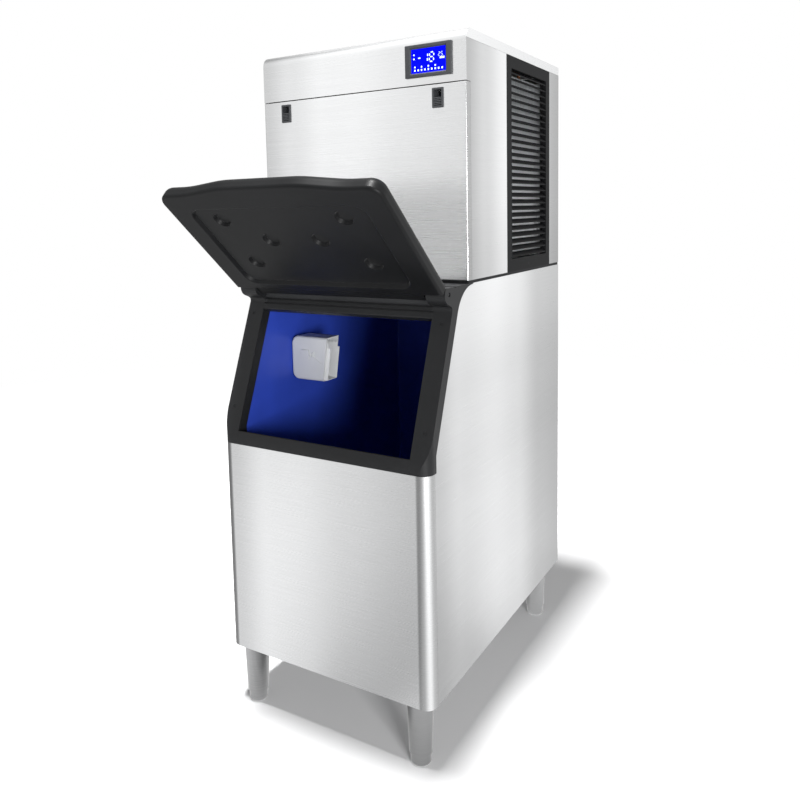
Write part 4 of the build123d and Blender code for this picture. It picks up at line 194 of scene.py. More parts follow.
def vector_node(nodes, operation):
    node = nodes.new("ShaderNodeVectorMath")
    node.operation = operation
    return node


def map_range(nodes, from_low, from_high, to_low=0.0, to_high=1.0):
    node = nodes.new("ShaderNodeMapRange")
    for key, value in (("From Min", from_low), ("From Max", from_high), ("To Min", to_low), ("To Max", to_high)):
        node.inputs[key].default_value = value
    return node


def colour_mix(nodes):
    node = nodes.new("ShaderNodeMix")
    node.data_type = "RGBA"
    return node


def noise(nodes, scale=5.0, detail=2.0, roughness=0.5):
    node = nodes.new("ShaderNodeTexNoise")
    node.inputs["Scale"].default_value = scale
    node.inputs["Detail"].default_value = detail
    node.inputs["Roughness"].default_value = roughness
    return node


def tone_ramp(nodes, stops):
    """A ramp of greys that eases from stop to stop."""
    ramp = nodes.new("ShaderNodeValToRGB")
    ramp.color_ramp.interpolation = "EASE"
    marks = ramp.color_ramp.elements
    while len(marks) > 1:
        marks.remove(marks[-1])
    for index, (where, tone) in enumerate(stops):
        mark = marks[0] if index == 0 else marks.new(where)
        mark.position = where
        mark.color = (tone, tone, tone, 1)
    return ramp


# Shader node groups: what more than one finish uses

def skin_tree(name, inputs):
    """A node group with its inputs, and the colour, roughness and normal that every skin gives."""
    tree = bpy.data.node_groups.new(name, "ShaderNodeTree")
    for label, kind, value in inputs:
        tree.interface.new_socket(label, in_out="INPUT", socket_type=kind).default_value = value
    for label, kind in (("Colour", "NodeSocketColor"), ("Roughness", "NodeSocketFloat"),
                        ("Normal", "NodeSocketVector")):
        tree.interface.new_socket(label, in_out="OUTPUT", socket_type=kind)
    return tree


def make_brushed_group():
    """Long fine lines of brushed sheet steel, with a slow change of tone along them."""
    tree = skin_tree("brushed_sheet", (
        ("Colour", "NodeSocketColor", (0.8, 0.8, 0.8, 1)),
        ("Shade", "NodeSocketColor", (0.6, 0.6, 0.6, 1)),
        ("Roughness", "NodeSocketFloat", 0.3),
        ("Line stretch", "NodeSocketVector", (1.5, 1.5, 260.0)),
        ("Line depth", "NodeSocketFloat", 0.02),
        ("Return at", "NodeSocketFloat", 100.0),
        ("Return tone", "NodeSocketFloat", 1.0),
    ))
    nodes, links = tree.nodes, tree.links
    entry = nodes.new("NodeGroupInput")
    leave = nodes.new("NodeGroupOutput")
    place = nodes.new("ShaderNodeTexCoord")
    stretch = vector_node(nodes, "MULTIPLY")
    lines = noise(nodes, scale=4.0, detail=5.0, roughness=0.6)
    cloud = noise(nodes, scale=1.3, detail=1.0)
    tone = colour_mix(nodes)
    line_tone = map_range(nodes, 0.3, 0.7, to_high=0.34)
    cloud_tone = map_range(nodes, 0.35, 0.65, to_high=0.4)
    both = math_node(nodes, "ADD")
    rough = math_node(nodes, "MULTIPLY_ADD")
    rough.inputs[1].default_value = 0.22
    bump = nodes.new("ShaderNodeBump")
    bump.inputs["Distance"].default_value = 0.6 * MM
    links.new(place.outputs["Object"], stretch.inputs[0])
    links.new(entry.outputs["Line stretch"], stretch.inputs[1])
    links.new(stretch.outputs[0], lines.inputs["Vector"])
    links.new(place.outputs["Object"], cloud.inputs["Vector"])
    links.new(lines.outputs[0], line_tone.inputs["Value"])
    links.new(cloud.outputs[0], cloud_tone.inputs["Value"])
    links.new(line_tone.outputs[0], both.inputs[0])
    links.new(cloud_tone.outputs[0], both.inputs[1])
    links.new(both.outputs[0], tone.inputs["Factor"])
    links.new(entry.outputs["Colour"], tone.inputs["A"])
    links.new(entry.outputs["Shade"], tone.inputs["B"])
    links.new(lines.outputs[0], rough.inputs[0])
    links.new(entry.outputs["Roughness"], rough.inputs[2])
    links.new(entry.outputs["Line depth"], bump.inputs["Strength"])
    links.new(lines.outputs[0], bump.inputs["Height"])
    # Painted shade on a bent return at the sheet's outer sides: the colour is darkened over the last part before
    # the edge
    part = nodes.new("ShaderNodeSeparateXYZ")
    outward = math_node(nodes, "ABSOLUTE")
    inner = math_node(nodes, "SUBTRACT")
    inner.inputs[1].default_value = RETURN_DEPTH
    return_shade_mask = map_range(nodes, 0.0, 1.0, to_low=1.0)
    darker = vector_node(nodes, "SCALE")
    links.new(place.outputs["Object"], part.inputs[0])
    links.new(part.outputs["X"], outward.inputs[0])
    links.new(entry.outputs["Return at"], inner.inputs[0])
    links.new(outward.outputs[0], return_shade_mask.inputs["Value"])
    links.new(inner.outputs[0], return_shade_mask.inputs["From Min"])
    links.new(entry.outputs["Return at"], return_shade_mask.inputs["From Max"])
    links.new(entry.outputs["Return tone"], return_shade_mask.inputs["To Max"])
    links.new(tone.outputs["Result"], darker.inputs[0])
    links.new(return_shade_mask.outputs[0], darker.inputs["Scale"])
    links.new(darker.outputs[0], leave.inputs["Colour"])
    links.new(rough.outputs[0], leave.inputs["Roughness"])
    links.new(bump.outputs[0], leave.inputs["Normal"])
    return tree


def make_moulded_group():
    """Fine spark-eroded grain of moulded plastic, rubber and paint, with a little dulling."""
    tree = skin_tree("moulded_skin", (
        ("Colour", "NodeSocketColor", (0.05, 0.05, 0.05, 1)),
        ("Dull colour", "NodeSocketColor", (0.08, 0.08, 0.08, 1)),
        ("Roughness", "NodeSocketFloat", 0.45),
        ("Grain scale", "NodeSocketFloat", 900.0),
        ("Grain depth", "NodeSocketFloat", 0.15),
    ))
    nodes, links = tree.nodes, tree.links
    entry = nodes.new("NodeGroupInput")
    leave = nodes.new("NodeGroupOutput")
    place = nodes.new("ShaderNodeTexCoord")
    grain = noise(nodes, detail=3.0)
    patch = noise(nodes, scale=7.0, detail=3.0)
    dulled = map_range(nodes, 0.35, 0.75)
    tone = colour_mix(nodes)
    rough = math_node(nodes, "MULTIPLY_ADD")
    rough.inputs[1].default_value = 0.12
    bump = nodes.new("ShaderNodeBump")
    bump.inputs["Distance"].default_value = 0.4 * MM
    links.new(place.outputs["Object"], grain.inputs["Vector"])
    links.new(entry.outputs["Grain scale"], grain.inputs["Scale"])
    links.new(place.outputs["Object"], patch.inputs["Vector"])
    links.new(patch.outputs[0], dulled.inputs["Value"])
    links.new(dulled.outputs[0], tone.inputs["Factor"])
    links.new(entry.outputs["Colour"], tone.inputs["A"])
    links.new(entry.outputs["Dull colour"], tone.inputs["B"])
    links.new(patch.outputs[0], rough.inputs[0])
    links.new(entry.outputs["Roughness"], rough.inputs[2])
    links.new(entry.outputs["Grain depth"], bump.inputs["Strength"])
    links.new(grain.outputs[0], bump.inputs["Height"])
    links.new(tone.outputs["Result"], leave.inputs["Colour"])
    links.new(rough.outputs[0], leave.inputs["Roughness"])
    links.new(bump.outputs[0], leave.inputs["Normal"])
    return tree


def node_group(name):
    """The node group of that name, made when it is first asked for."""
    makers = {"brushed_sheet": make_brushed_group, "moulded_skin": make_moulded_group,
              "repeat_on_points": make_repeat_group, "pipe_thread": make_thread_group}
    if name not in bpy.data.node_groups:
        makers[name]()
    return bpy.data.node_groups[name]


# Finishes

def finish(name, skin_name, metallic=0.0, specular=0.5, **values):
    """A material of this machine: one shared node group feeding one Principled shader."""
    material = bpy.data.materials.new(name)
    material.use_nodes = True
    nodes, links = material.node_tree.nodes, material.node_tree.links
    shader = nodes["Principled BSDF"]
    shader.inputs["Metallic"].default_value = metallic
    shader.inputs["Specular IOR Level"].default_value = specular
    skin = nodes.new("ShaderNodeGroup")
    skin.node_tree = node_group(skin_name)
    for key, value in values.items():
        socket = skin.inputs[key.replace("_", " ").capitalize()]
        socket.default_value = (*value, 1) if socket.type == "RGBA" else value
    links.new(skin.outputs["Colour"], shader.inputs["Base Color"])
    links.new(skin.outputs["Roughness"], shader.inputs["Roughness"])
    links.new(skin.outputs["Normal"], shader.inputs["Normal"])
    return material


def sheen(material, axis, stops):
    """Painted sheen: soft bands of painted reflection along one axis of the sheet, multiplied into its colour:
    places in metres and how bright the metal is painted there.
    """
    nodes, links = material.node_tree.nodes, material.node_tree.links
    base = nodes["Principled BSDF"].inputs["Base Color"]
    first, last = stops[0][0], stops[-1][0]
    place = nodes.new("ShaderNodeTexCoord")
    part = nodes.new("ShaderNodeSeparateXYZ")
    along = map_range(nodes, first, last)
    toned = vector_node(nodes, "SCALE")
    ramp = tone_ramp(nodes, [((where - first) / (last - first), tone) for where, tone in stops])
    links.new(place.outputs["Object"], part.inputs[0])
    links.new(part.outputs[axis], along.inputs["Value"])
    links.new(along.outputs[0], ramp.inputs["Fac"])
    links.new(base.links[0].from_socket, toned.inputs[0])
    links.new(ramp.outputs["Color"], toned.inputs["Scale"])
    links.new(toned.outputs[0], base)
    return material


def spread(low, high, bands):
    """Bands given by shares of the way, placed between two ends."""
    return [(low + (high - low) * share, tone) for share, tone in bands]


def steel(name, colour, shade, roughness=0.3, depth=0.02, stretch=(1.5, 1.5, 260.0), **more):
    """Brushed, drawn or turned metal: the stretch squeezes the lines along each axis."""
    return finish(name, "brushed_sheet", metallic=1.0, colour=colour, shade=shade, roughness=roughness,
                  line_depth=depth, line_stretch=stretch, **more)


def plastic(name, colour, dull, roughness=0.42, scale=900.0, depth=0.15, **more):
    """Plastic, rubber, foam or paint with a fine grain."""
    return finish(name, "moulded_skin", colour=colour, dull_colour=dull, roughness=roughness,
                  grain_scale=scale, grain_depth=depth, **more)


# Settings that a user would change

class IceMachineColours(bpy.types.PropertyGroup):
    steel: bpy.props.FloatVectorProperty(
        name="Steel", description="Tone of the brushed steel sheet", subtype="COLOR", size=3,
        default=(0.8, 0.805, 0.81), min=0, max=1)
    plastic: bpy.props.FloatVectorProperty(
        name="Frame and door", description="Charcoal of the frame and the door", subtype="COLOR", size=3,
        default=(0.013, 0.0135, 0.0145), min=0, max=1)
    liner: bpy.props.FloatVectorProperty(
        name="Bin liner", description="Blue of the moulded tub", subtype="COLOR", size=3,
        default=(0.026, 0.06, 0.42), min=0, max=1)
    screen: bpy.props.FloatVectorProperty(
        name="Screen", description="Backlight of the display", subtype="COLOR", size=3,
        default=(0.001, 0.0025, 0.78), min=0, max=1)
    digits: bpy.props.FloatVectorProperty(
        name="Digits", description="Tone of the display's digits and marks", subtype="COLOR", size=3,
        default=(0.6, 0.74, 1.0), min=0, max=1)


class IceMachineSizes(bpy.types.PropertyGroup):
    thread_pitch: bpy.props.FloatProperty(
        name="Thread pitch", description="Rise of the pipe threads in one turn", default=1.8 * MM,
        min=0.5 * MM, max=4 * MM, unit="LENGTH")
    screw_radius: bpy.props.FloatProperty(
        name="Panel screw radius", description="Radius of the small panel screws", default=3.4 * MM,
        min=1 * MM, max=8 * MM, unit="LENGTH")
    digit_height: bpy.props.FloatProperty(
        name="Digit height", description="Height of the large digits on the display", default=20 * MM,
        min=5 * MM, max=25 * MM, unit="LENGTH")


# Geometry Nodes helpers

def geometry_tree(name, inputs):
    tree = bpy.data.node_groups.new(name, "GeometryNodeTree")
    tree.interface.new_socket("Geometry", in_out="INPUT", socket_type="NodeSocketGeometry")
    for label, kind in inputs:
        tree.interface.new_socket(label, in_out="INPUT", socket_type=kind)
    tree.interface.new_socket("Geometry", in_out="OUTPUT", socket_type="NodeSocketGeometry")
    return tree


def close_tree(tree, last, entry):
    """Every tree ends in Realize Instances and Set Material."""
    nodes, links = tree.nodes, tree.links
    real = nodes.new("GeometryNodeRealizeInstances")
    dress = nodes.new("GeometryNodeSetMaterial")
    leave = nodes.new("NodeGroupOutput")
    links.new(last, real.inputs["Geometry"])
    links.new(real.outputs["Geometry"], dress.inputs["Geometry"])
    links.new(entry.outputs["Material"], dress.inputs["Material"])
    links.new(dress.outputs["Geometry"], leave.inputs["Geometry"])


def grow(name, tree, values, body, points=((0, 0, 0),)):
    """Runs a tree on a few start points and keeps its result as a plain mesh on a body."""
    seed = bpy.data.meshes.new(name + "_seed")
    seed.from_pydata(points, [], [])
    maker = bpy.data.objects.new(name + "_maker", seed)
    bpy.context.scene.collection.objects.link(maker)
    modifier = maker.modifiers.new("Maker", "NODES")
    modifier.node_group = tree
    for item in tree.interface.items_tree:
        if item.item_type == "SOCKET" and item.in_out == "INPUT" and item.name in values:
            modifier[item.identifier] = values[item.name]
    bpy.context.view_layer.update()
    ready = maker.evaluated_get(bpy.context.evaluated_depsgraph_get())
    mesh = bpy.data.meshes.new_from_object(ready)
    mesh.name = name
    bpy.data.objects.remove(maker)
    bpy.data.meshes.remove(seed)
    new_object(name, mesh, body)


def make_repeat_group():
    """One small shape set on every start point, turned the same way."""
    tree = geometry_tree("repeat_on_points", (("Shape", "NodeSocketObject"), ("Turn", "NodeSocketVector"),
                                              ("Size", "NodeSocketVector"), ("Material", "NodeSocketMaterial")))
    nodes, links = tree.nodes, tree.links
    entry = nodes.new("NodeGroupInput")
    to_points = nodes.new("GeometryNodeMeshToPoints")
    shape = nodes.new("GeometryNodeObjectInfo")
    turn = nodes.new("FunctionNodeEulerToRotation")
    put = nodes.new("GeometryNodeInstanceOnPoints")
    links.new(entry.outputs["Geometry"], to_points.inputs["Mesh"])
    links.new(entry.outputs["Shape"], shape.inputs["Object"])
    links.new(entry.outputs["Turn"], turn.inputs["Euler"])
    links.new(to_points.outputs["Points"], put.inputs["Points"])
    links.new(shape.outputs["Geometry"], put.inputs["Instance"])
    links.new(turn.outputs["Rotation"], put.inputs["Rotation"])
    links.new(entry.outputs["Size"], put.inputs["Scale"])
    close_tree(tree, put.outputs["Instances"], entry)
    return tree


def make_thread_group():
    """A ridge wound round a pipe: a helix with a three-sided section."""
    tree = geometry_tree("pipe_thread", (
        ("Radius", "NodeSocketFloat"), ("Pitch", "NodeSocketFloat"), ("Turns", "NodeSocketFloat"),
        ("Ridge", "NodeSocketFloat"), ("Turn", "NodeSocketVector"), ("Place", "NodeSocketVector"),
        ("Material", "NodeSocketMaterial"),
    ))
    nodes, links = tree.nodes, tree.links
    entry = nodes.new("NodeGroupInput")
    helix = nodes.new("GeometryNodeCurveSpiral")
    helix.inputs["Resolution"].default_value = 28
    rise = math_node(nodes, "MULTIPLY")
    profile = nodes.new("GeometryNodeCurvePrimitiveCircle")
    profile.inputs["Resolution"].default_value = 3
    body = nodes.new("GeometryNodeCurveToMesh")
    body.inputs["Fill Caps"].default_value = True
    move = nodes.new("GeometryNodeTransform")
    links.new(entry.outputs["Radius"], helix.inputs["Start Radius"])
    links.new(entry.outputs["Radius"], helix.inputs["End Radius"])
    links.new(entry.outputs["Turns"], helix.inputs["Rotations"])
    links.new(entry.outputs["Pitch"], rise.inputs[0])
    links.new(entry.outputs["Turns"], rise.inputs[1])
    links.new(rise.outputs[0], helix.inputs["Height"])
    links.new(entry.outputs["Ridge"], profile.inputs["Radius"])
    links.new(helix.outputs["Curve"], body.inputs["Curve"])
    links.new(profile.outputs["Curve"], body.inputs["Profile Curve"])
    links.new(body.outputs["Mesh"], move.inputs["Geometry"])
    links.new(entry.outputs["Turn"], move.inputs["Rotation"])
    links.new(entry.outputs["Place"], move.inputs["Translation"])
    close_tree(tree, move.outputs["Geometry"], entry)
    return tree


def template(name, bm):
    """A shape that a tree repeats: linked nowhere, so it is never part of the machine."""
    return bpy.data.objects.new(name, mesh_from(bm, name))


# Stage

class ICEMACHINE_OT_stage(bpy.types.Operator):
    """Floor, pale surroundings, soft lamps and the camera"""
    bl_idname = "icemachine.stage"
    bl_label = "Studio stage"

    def execute(self, context):
        scene = context.scene
        scene.view_settings.view_transform = "Standard"
        self.camera(scene)
        self.surroundings(scene)
        self.floor(scene)
        self.lamps(scene)
        return {"FINISHED"}

    def camera(self, scene):
        yaw, pitch, roll = (math.radians(angle) for angle in (CAMERA_YAW, CAMERA_PITCH, CAMERA_ROLL))
        ahead = Vector((-math.sin(yaw) * math.cos(pitch), math.cos(yaw) * math.cos(pitch), math.sin(pitch)))
        level = Vector((math.cos(yaw), math.sin(yaw), 0))
        above = level.cross(ahead)
        across = level * math.cos(roll) + above * math.sin(roll)
        upright = above * math.cos(roll) - level * math.sin(roll)
        data = bpy.data.cameras.new("photo_camera")
        data.lens = CAMERA_LENS
        data.sensor_width = CAMERA_SENSOR
        data.shift_x, data.shift_y = CAMERA_SHIFT
        camera = bpy.data.objects.new("photo_camera", data)
        scene.collection.objects.link(camera)
        turn = Matrix((across, upright, -ahead)).transposed().to_4x4()
        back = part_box("bin_back_panel")[1].y
        camera.matrix_world = Matrix.Translation((CAMERA_X, back - CAMERA_BEFORE_BACK, CAMERA_Z)) @ turn
        scene.camera = camera

    def surroundings(self, scene):
        """White behind everything, soft light for matt things and a room of pale walls for metal to mirror."""
        world = bpy.data.worlds.new("studio")
        scene.world = world
        world.use_nodes = True
        nodes, links = world.node_tree.nodes, world.node_tree.links
        nodes.clear()
        leave = nodes.new("ShaderNodeOutputWorld")
        soft = nodes.new("ShaderNodeBackground")
        soft.inputs["Color"].default_value = (1, 1, 1, 1)
        soft.inputs["Strength"].default_value = SOFT_LIGHT
        seen = nodes.new("ShaderNodeBackground")
        seen.inputs["Color"].default_value = (1, 1, 1, 1)
        seen.inputs["Strength"].default_value = 1.0
        mirror = nodes.new("ShaderNodeBackground")
        mirror.inputs["Strength"].default_value = 1.0
        place = nodes.new("ShaderNodeTexCoord")
        path = nodes.new("ShaderNodeLightPath")
        glossy = nodes.new("ShaderNodeMixShader")
        camera = nodes.new("ShaderNodeMixShader")
        links.new(self.room_tone(nodes, links, place.outputs["Generated"]), mirror.inputs["Color"])
        links.new(path.outputs["Is Glossy Ray"], glossy.inputs["Fac"])
        links.new(soft.outputs[0], glossy.inputs[1])
        links.new(mirror.outputs[0], glossy.inputs[2])
        links.new(path.outputs["Is Camera Ray"], camera.inputs["Fac"])
        links.new(glossy.outputs[0], camera.inputs[1])
        links.new(seen.outputs[0], camera.inputs[2])
        links.new(camera.outputs[0], leave.inputs["Surface"])

    def room_tone(self, nodes, links, direction):
        """Tone of the mirrored room, by the compass angle of a place or a direction."""
        part = nodes.new("ShaderNodeSeparateXYZ")
        angle = math_node(nodes, "ARCTAN2")
        turn = map_range(nodes, -math.pi, math.pi)
        ramp = tone_ramp(nodes, [((degrees + 180) / 360, tone) for degrees, tone in ROOM_TONES])
        links.new(direction, part.inputs[0])
        links.new(part.outputs["Y"], angle.inputs[0])
        links.new(part.outputs["X"], angle.inputs[1])
        links.new(angle.outputs[0], turn.inputs["Value"])
        links.new(turn.outputs[0], ramp.inputs["Fac"])
        return ramp.outputs["Color"]

    def floor(self, scene):
        """A pale floor that keeps the shadow, whitens with distance and is mirrored as the room is."""
        material = bpy.data.materials.new("studio_floor")
        material.use_nodes = True
        nodes, links = material.node_tree.nodes, material.node_tree.links
        nodes.clear()
        leave = nodes.new("ShaderNodeOutputMaterial")
        matt = nodes.new("ShaderNodeBsdfDiffuse")
        matt.inputs["Color"].default_value = FLOOR_TONE
        white = nodes.new("ShaderNodeEmission")
        white.inputs["Strength"].default_value = 1.0
        shine = nodes.new("ShaderNodeEmission")
        shine.inputs["Strength"].default_value = FLOOR_MIRROR_TONE
        place = nodes.new("ShaderNodeTexCoord")
        reach = vector_node(nodes, "LENGTH")
        far = map_range(nodes, *FLOOR_WHITENS)
        path = nodes.new("ShaderNodeLightPath")
        fade = nodes.new("ShaderNodeMixShader")
        mirrored = nodes.new("ShaderNodeMixShader")
        share = math_node(nodes, "MULTIPLY")
        share.inputs[1].default_value = FLOOR_MIRROR_SHARE
        links.new(place.outputs["Object"], reach.inputs[0])
        links.new(reach.outputs["Value"], far.inputs["Value"])
        links.new(self.room_tone(nodes, links, place.outputs["Object"]), shine.inputs["Color"])
        links.new(far.outputs[0], fade.inputs["Fac"])
        links.new(matt.outputs[0], fade.inputs[1])
        links.new(white.outputs[0], fade.inputs[2])
        links.new(path.outputs["Is Glossy Ray"], share.inputs[0])
        links.new(share.outputs[0], mirrored.inputs["Fac"])
        links.new(fade.outputs[0], mirrored.inputs[1])
        links.new(shine.outputs[0], mirrored.inputs[2])
        links.new(mirrored.outputs[0], leave.inputs["Surface"])
        bm = bmesh.new()
        bmesh.ops.create_circle(bm, cap_ends=True, segments=96, radius=FLOOR_RADIUS)
        plane = bpy.data.objects.new("studio_floor", mesh_from(bm, "studio_floor", material))
        scene.collection.objects.link(plane)

    def lamps(self, scene):
        for name, place, aim, side, power in LAMPS:
            data = bpy.data.lights.new(name, "AREA")
            data.shape = "SQUARE"
            data.size = side
            data.energy = power
            lamp = bpy.data.objects.new(name, data)
            lamp.location = place
            lamp.rotation_euler = (Vector(aim) - Vector(place)).to_track_quat("-Z", "Y").to_euler()
            scene.collection.objects.link(lamp)


# Steel cabinets

class ICEMACHINE_OT_cabinets(bpy.types.Operator):
    """Brushed steel on the outer panels, and metal on the legs, the feet and the inner sheets"""
    bl_idname = "icemachine.cabinets"
    bl_label = "Steel cabinets"

    def execute(self, context):
        tone = Vector(context.scene.ice_machine_colours.steel)
        self.fronts(tone)
        self.sides(tone)
        leg = steel("spun_leg_steel", tone * 0.52, tone * 0.3, roughness=0.02, depth=0.01, stretch=(3, 3, 420))
        paint(leg, "legs", "foot_front_left", "foot_front_right", "foot_rear_left", "foot_rear_right")
        plate = steel("zinc_sheet", tone * 0.62, tone * 0.45, roughness=0.38, depth=0.05, stretch=(14, 14, 14))
        paint(plate, "bin_base", "head_base", "bulkhead", "fan_shroud", "motor_bracket", "control_box")
        return {"FINISHED"}

    def fronts(self, tone):
        """Front of the bin with its two rounded corners, front pan of the head, and top cover, with painted sheen
        bands across them.
        """
        front = frame["nodes"]["bin_front_panel"]
        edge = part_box("bin_front_panel")[1].x
        face_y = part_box("bin_front_panel")[0].y
        flat = max(vertex.co.x for vertex in front.data.vertices
                   if (front.matrix_world @ vertex.co).y < face_y + 0.01 * MM)
        shade = tone * 0.86
        # Painted reflection bands: dark on the left corner, a dip before the right corner and a painted highlight
        # on it
        bands = spread(-edge, -flat, LEFT_CORNER_SHEEN) + spread(0, edge, FRONT_SHEEN)
        bands += spread(0, flat, FLAT_END_SHEEN) + spread(edge, flat, RIGHT_CORNER_SHEEN)
        paint(sheen(steel("brushed_sheet_steel_painted_sheen", tone, shade, roughness=0.18), "X", bands), "bin_front_panel")
        head = spread(0, edge, HEAD_SHEEN)
        pan = steel("brushed_pan_steel_painted_sheen_and_shade", tone, shade, roughness=0.18, return_at=edge, return_tone=RETURN_PAINTED_SHADE)
        paint(sheen(pan, "X", head), "head_front_panel")
        paint(sheen(steel("brushed_cover_steel_painted_sheen", tone, shade, roughness=0.18), "X", head), "top_cover")

    def sides(self, tone):
        """Sides and backs of the bin and the head, with painted sheen bands from front to back, and on the bin
        painted sheen that brightens towards the top.
        """
        low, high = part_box("bin_right_panel")
        side = steel("brushed_side_steel_painted_sheen", tone * 0.98, tone * 0.86, roughness=0.2)
        sheen(side, "Y", spread(low.y, high.y, SIDE_SHEEN))
        sheen(side, "Z", spread(low.z, high.z, SIDE_SHEEN_RISE))
        paint(side, "bin_left_panel", "bin_right_panel", "bin_back_panel")
        low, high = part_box("head_right_panel")[0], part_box("head_back_panel")[1]
        wall = steel("brushed_wall_steel_painted_sheen", tone * 0.98, tone * 0.86, roughness=0.2)
        sheen(wall, "Y", spread(low.y, high.y, WALL_SHEEN))
        paint(wall, "head_left_panel", "head_right_panel", "head_back_panel")


# Plastic mouldings

class ICEMACHINE_OT_mouldings(bpy.types.Operator):
    """Plastic on the frame, door, grille, trim and tub, and rubber on the gasket, mounts and plugs"""
    bl_idname = "icemachine.mouldings"
    bl_label = "Plastic mouldings"

    def execute(self, context):
        colours = context.scene.ice_machine_colours
        dark = Vector(colours.plastic)
        blue = Vector(colours.liner)
        frame_skin = plastic("frame_charcoal", dark * 0.75, dark, roughness=0.4, depth=0.12, specular=0.2)
        door_skin = plastic("door_charcoal", dark * 0.4, dark * 0.6, roughness=0.36, depth=0.1, specular=0.13)
        # Painted reflection: the door is painted pale for glossy rays
        self.paint_pale_reflection(door_skin, DOOR_PAINTED_REFLECTION)
        grille_skin = plastic("grille_charcoal", dark * 0.4, dark * 0.7, roughness=0.5, depth=0.12,
                              specular=0.08)
        trim_skin = plastic("trim_charcoal", dark * 3.2, dark * 3.8, roughness=0.38, depth=0.08,
                            specular=0.25)
        slider_skin = plastic("slider_grey", dark * 4.2, dark * 4.8, roughness=0.4, depth=0.1, specular=0.25)
        tub = plastic("tub_blue", blue, blue * 0.8, roughness=0.34, scale=300.0, depth=0.05, specular=0.3)
        rubber = plastic("black_rubber", dark * 0.7, dark, roughness=0.62, scale=500.0, depth=0.2, specular=0.2)
        paint(frame_skin, "frame_left_jamb", "frame_right_jamb", "frame_bottom_rail", "frame_top_rail")
        paint(door_skin, "bin_door")
        paint(grille_skin, "side_grille")
        paint(trim_skin, "display_bezel", "latch_housing_left", "latch_housing_right", "power_gland")
        paint(slider_skin, "latch_slider_left", "latch_slider_right")
        paint(tub, "bin_liner")
        paint(rubber, "head_gasket", "compressor_mounts", "pump_hose", "panel_screws")
        return {"FINISHED"}

    def paint_pale_reflection(self, material, tone):
        """Painted reflection: glossy rays see the door as a pale grey, so the steel above the door mirrors it
        palely, as the photograph shows it.
        """
        nodes, links = material.node_tree.nodes, material.node_tree.links
        base = nodes["Principled BSDF"].inputs["Base Color"]
        path = nodes.new("ShaderNodeLightPath")
        seen = colour_mix(nodes)
        seen.inputs["B"].default_value = (tone, tone, tone, 1)
        links.new(path.outputs["Is Glossy Ray"], seen.inputs["Factor"])
        links.new(base.links[0].from_socket, seen.inputs["A"])
        links.new(seen.outputs["Result"], base)


class ICEMACHINE_OT_scoop(bpy.types.Operator):
    """Pale plastic on the scoop and its holder"""
    bl_idname = "icemachine.scoop"
    bl_label = "Scoop and holder"

    def execute(self, context):
        holder = plastic("holder_grey", (0.56, 0.57, 0.58), (0.5, 0.51, 0.52), roughness=0.35, scale=500.0,
                         depth=0.06)
        scoop = plastic("scoop_white", (0.68, 0.69, 0.7), (0.62, 0.63, 0.64), roughness=0.28, scale=500.0,
                        depth=0.04)
        paint(holder, "scoop_holder")
        paint(scoop, "scoop")
        return {"FINISHED"}


# Works inside the head

class ICEMACHINE_OT_works(bpy.types.Operator):
    """Finishes of the ice maker's inner pieces"""
    bl_idname = "icemachine.works"
    bl_label = "Inner works"

    def execute(self, context):
        # The condenser keeps the frame's own fin_aluminium
        white = plastic("wet_side_white", (0.78, 0.79, 0.79), (0.7, 0.71, 0.72), roughness=0.4, scale=400.0,
                        depth=0.08)
        foam = plastic("foam_cream", (0.66, 0.58, 0.36), (0.55, 0.47, 0.28), roughness=0.8, scale=160.0, depth=0.8)
        copper = steel("drawn_copper", (0.78, 0.36, 0.2), (0.6, 0.25, 0.14), roughness=0.26, stretch=(40, 40, 40))
        nickel = steel("plated_nickel", (0.72, 0.7, 0.66), (0.6, 0.58, 0.54), roughness=0.22, stretch=(30, 30, 30))
        brass = steel("turned_brass", (0.75, 0.56, 0.26), (0.6, 0.42, 0.18), roughness=0.24, stretch=(30, 300, 30))
        pin = steel("ground_pin_steel", (0.6, 0.6, 0.61), (0.5, 0.5, 0.51), roughness=0.2, stretch=(300, 10, 10))
        black = plastic("black_enamel", (0.012, 0.012, 0.014), (0.02, 0.02, 0.022), roughness=0.25, scale=60.0,
                        depth=0.1)
        valve = plastic("valve_blue", (0.03, 0.1, 0.3), (0.025, 0.08, 0.25), roughness=0.4)
        paint(white, "water_curtain", "water_trough", "spray_tube", "curtain_hangers", "float_arm", "head_drain",
              "bin_drain", "fan")
        paint(foam, "bin_insulation")
        paint(copper, "evaporator_coil", "refrigerant_pipes", "filter_drier")
        paint(nickel, "evaporator")
        paint(brass, "water_inlet")
        paint(pin, "hinge_pins")
        paint(black, "compressor", "fan_motor", "water_pump")
        paint(valve, "float_valve")
        return {"FINISHED"}


# Display

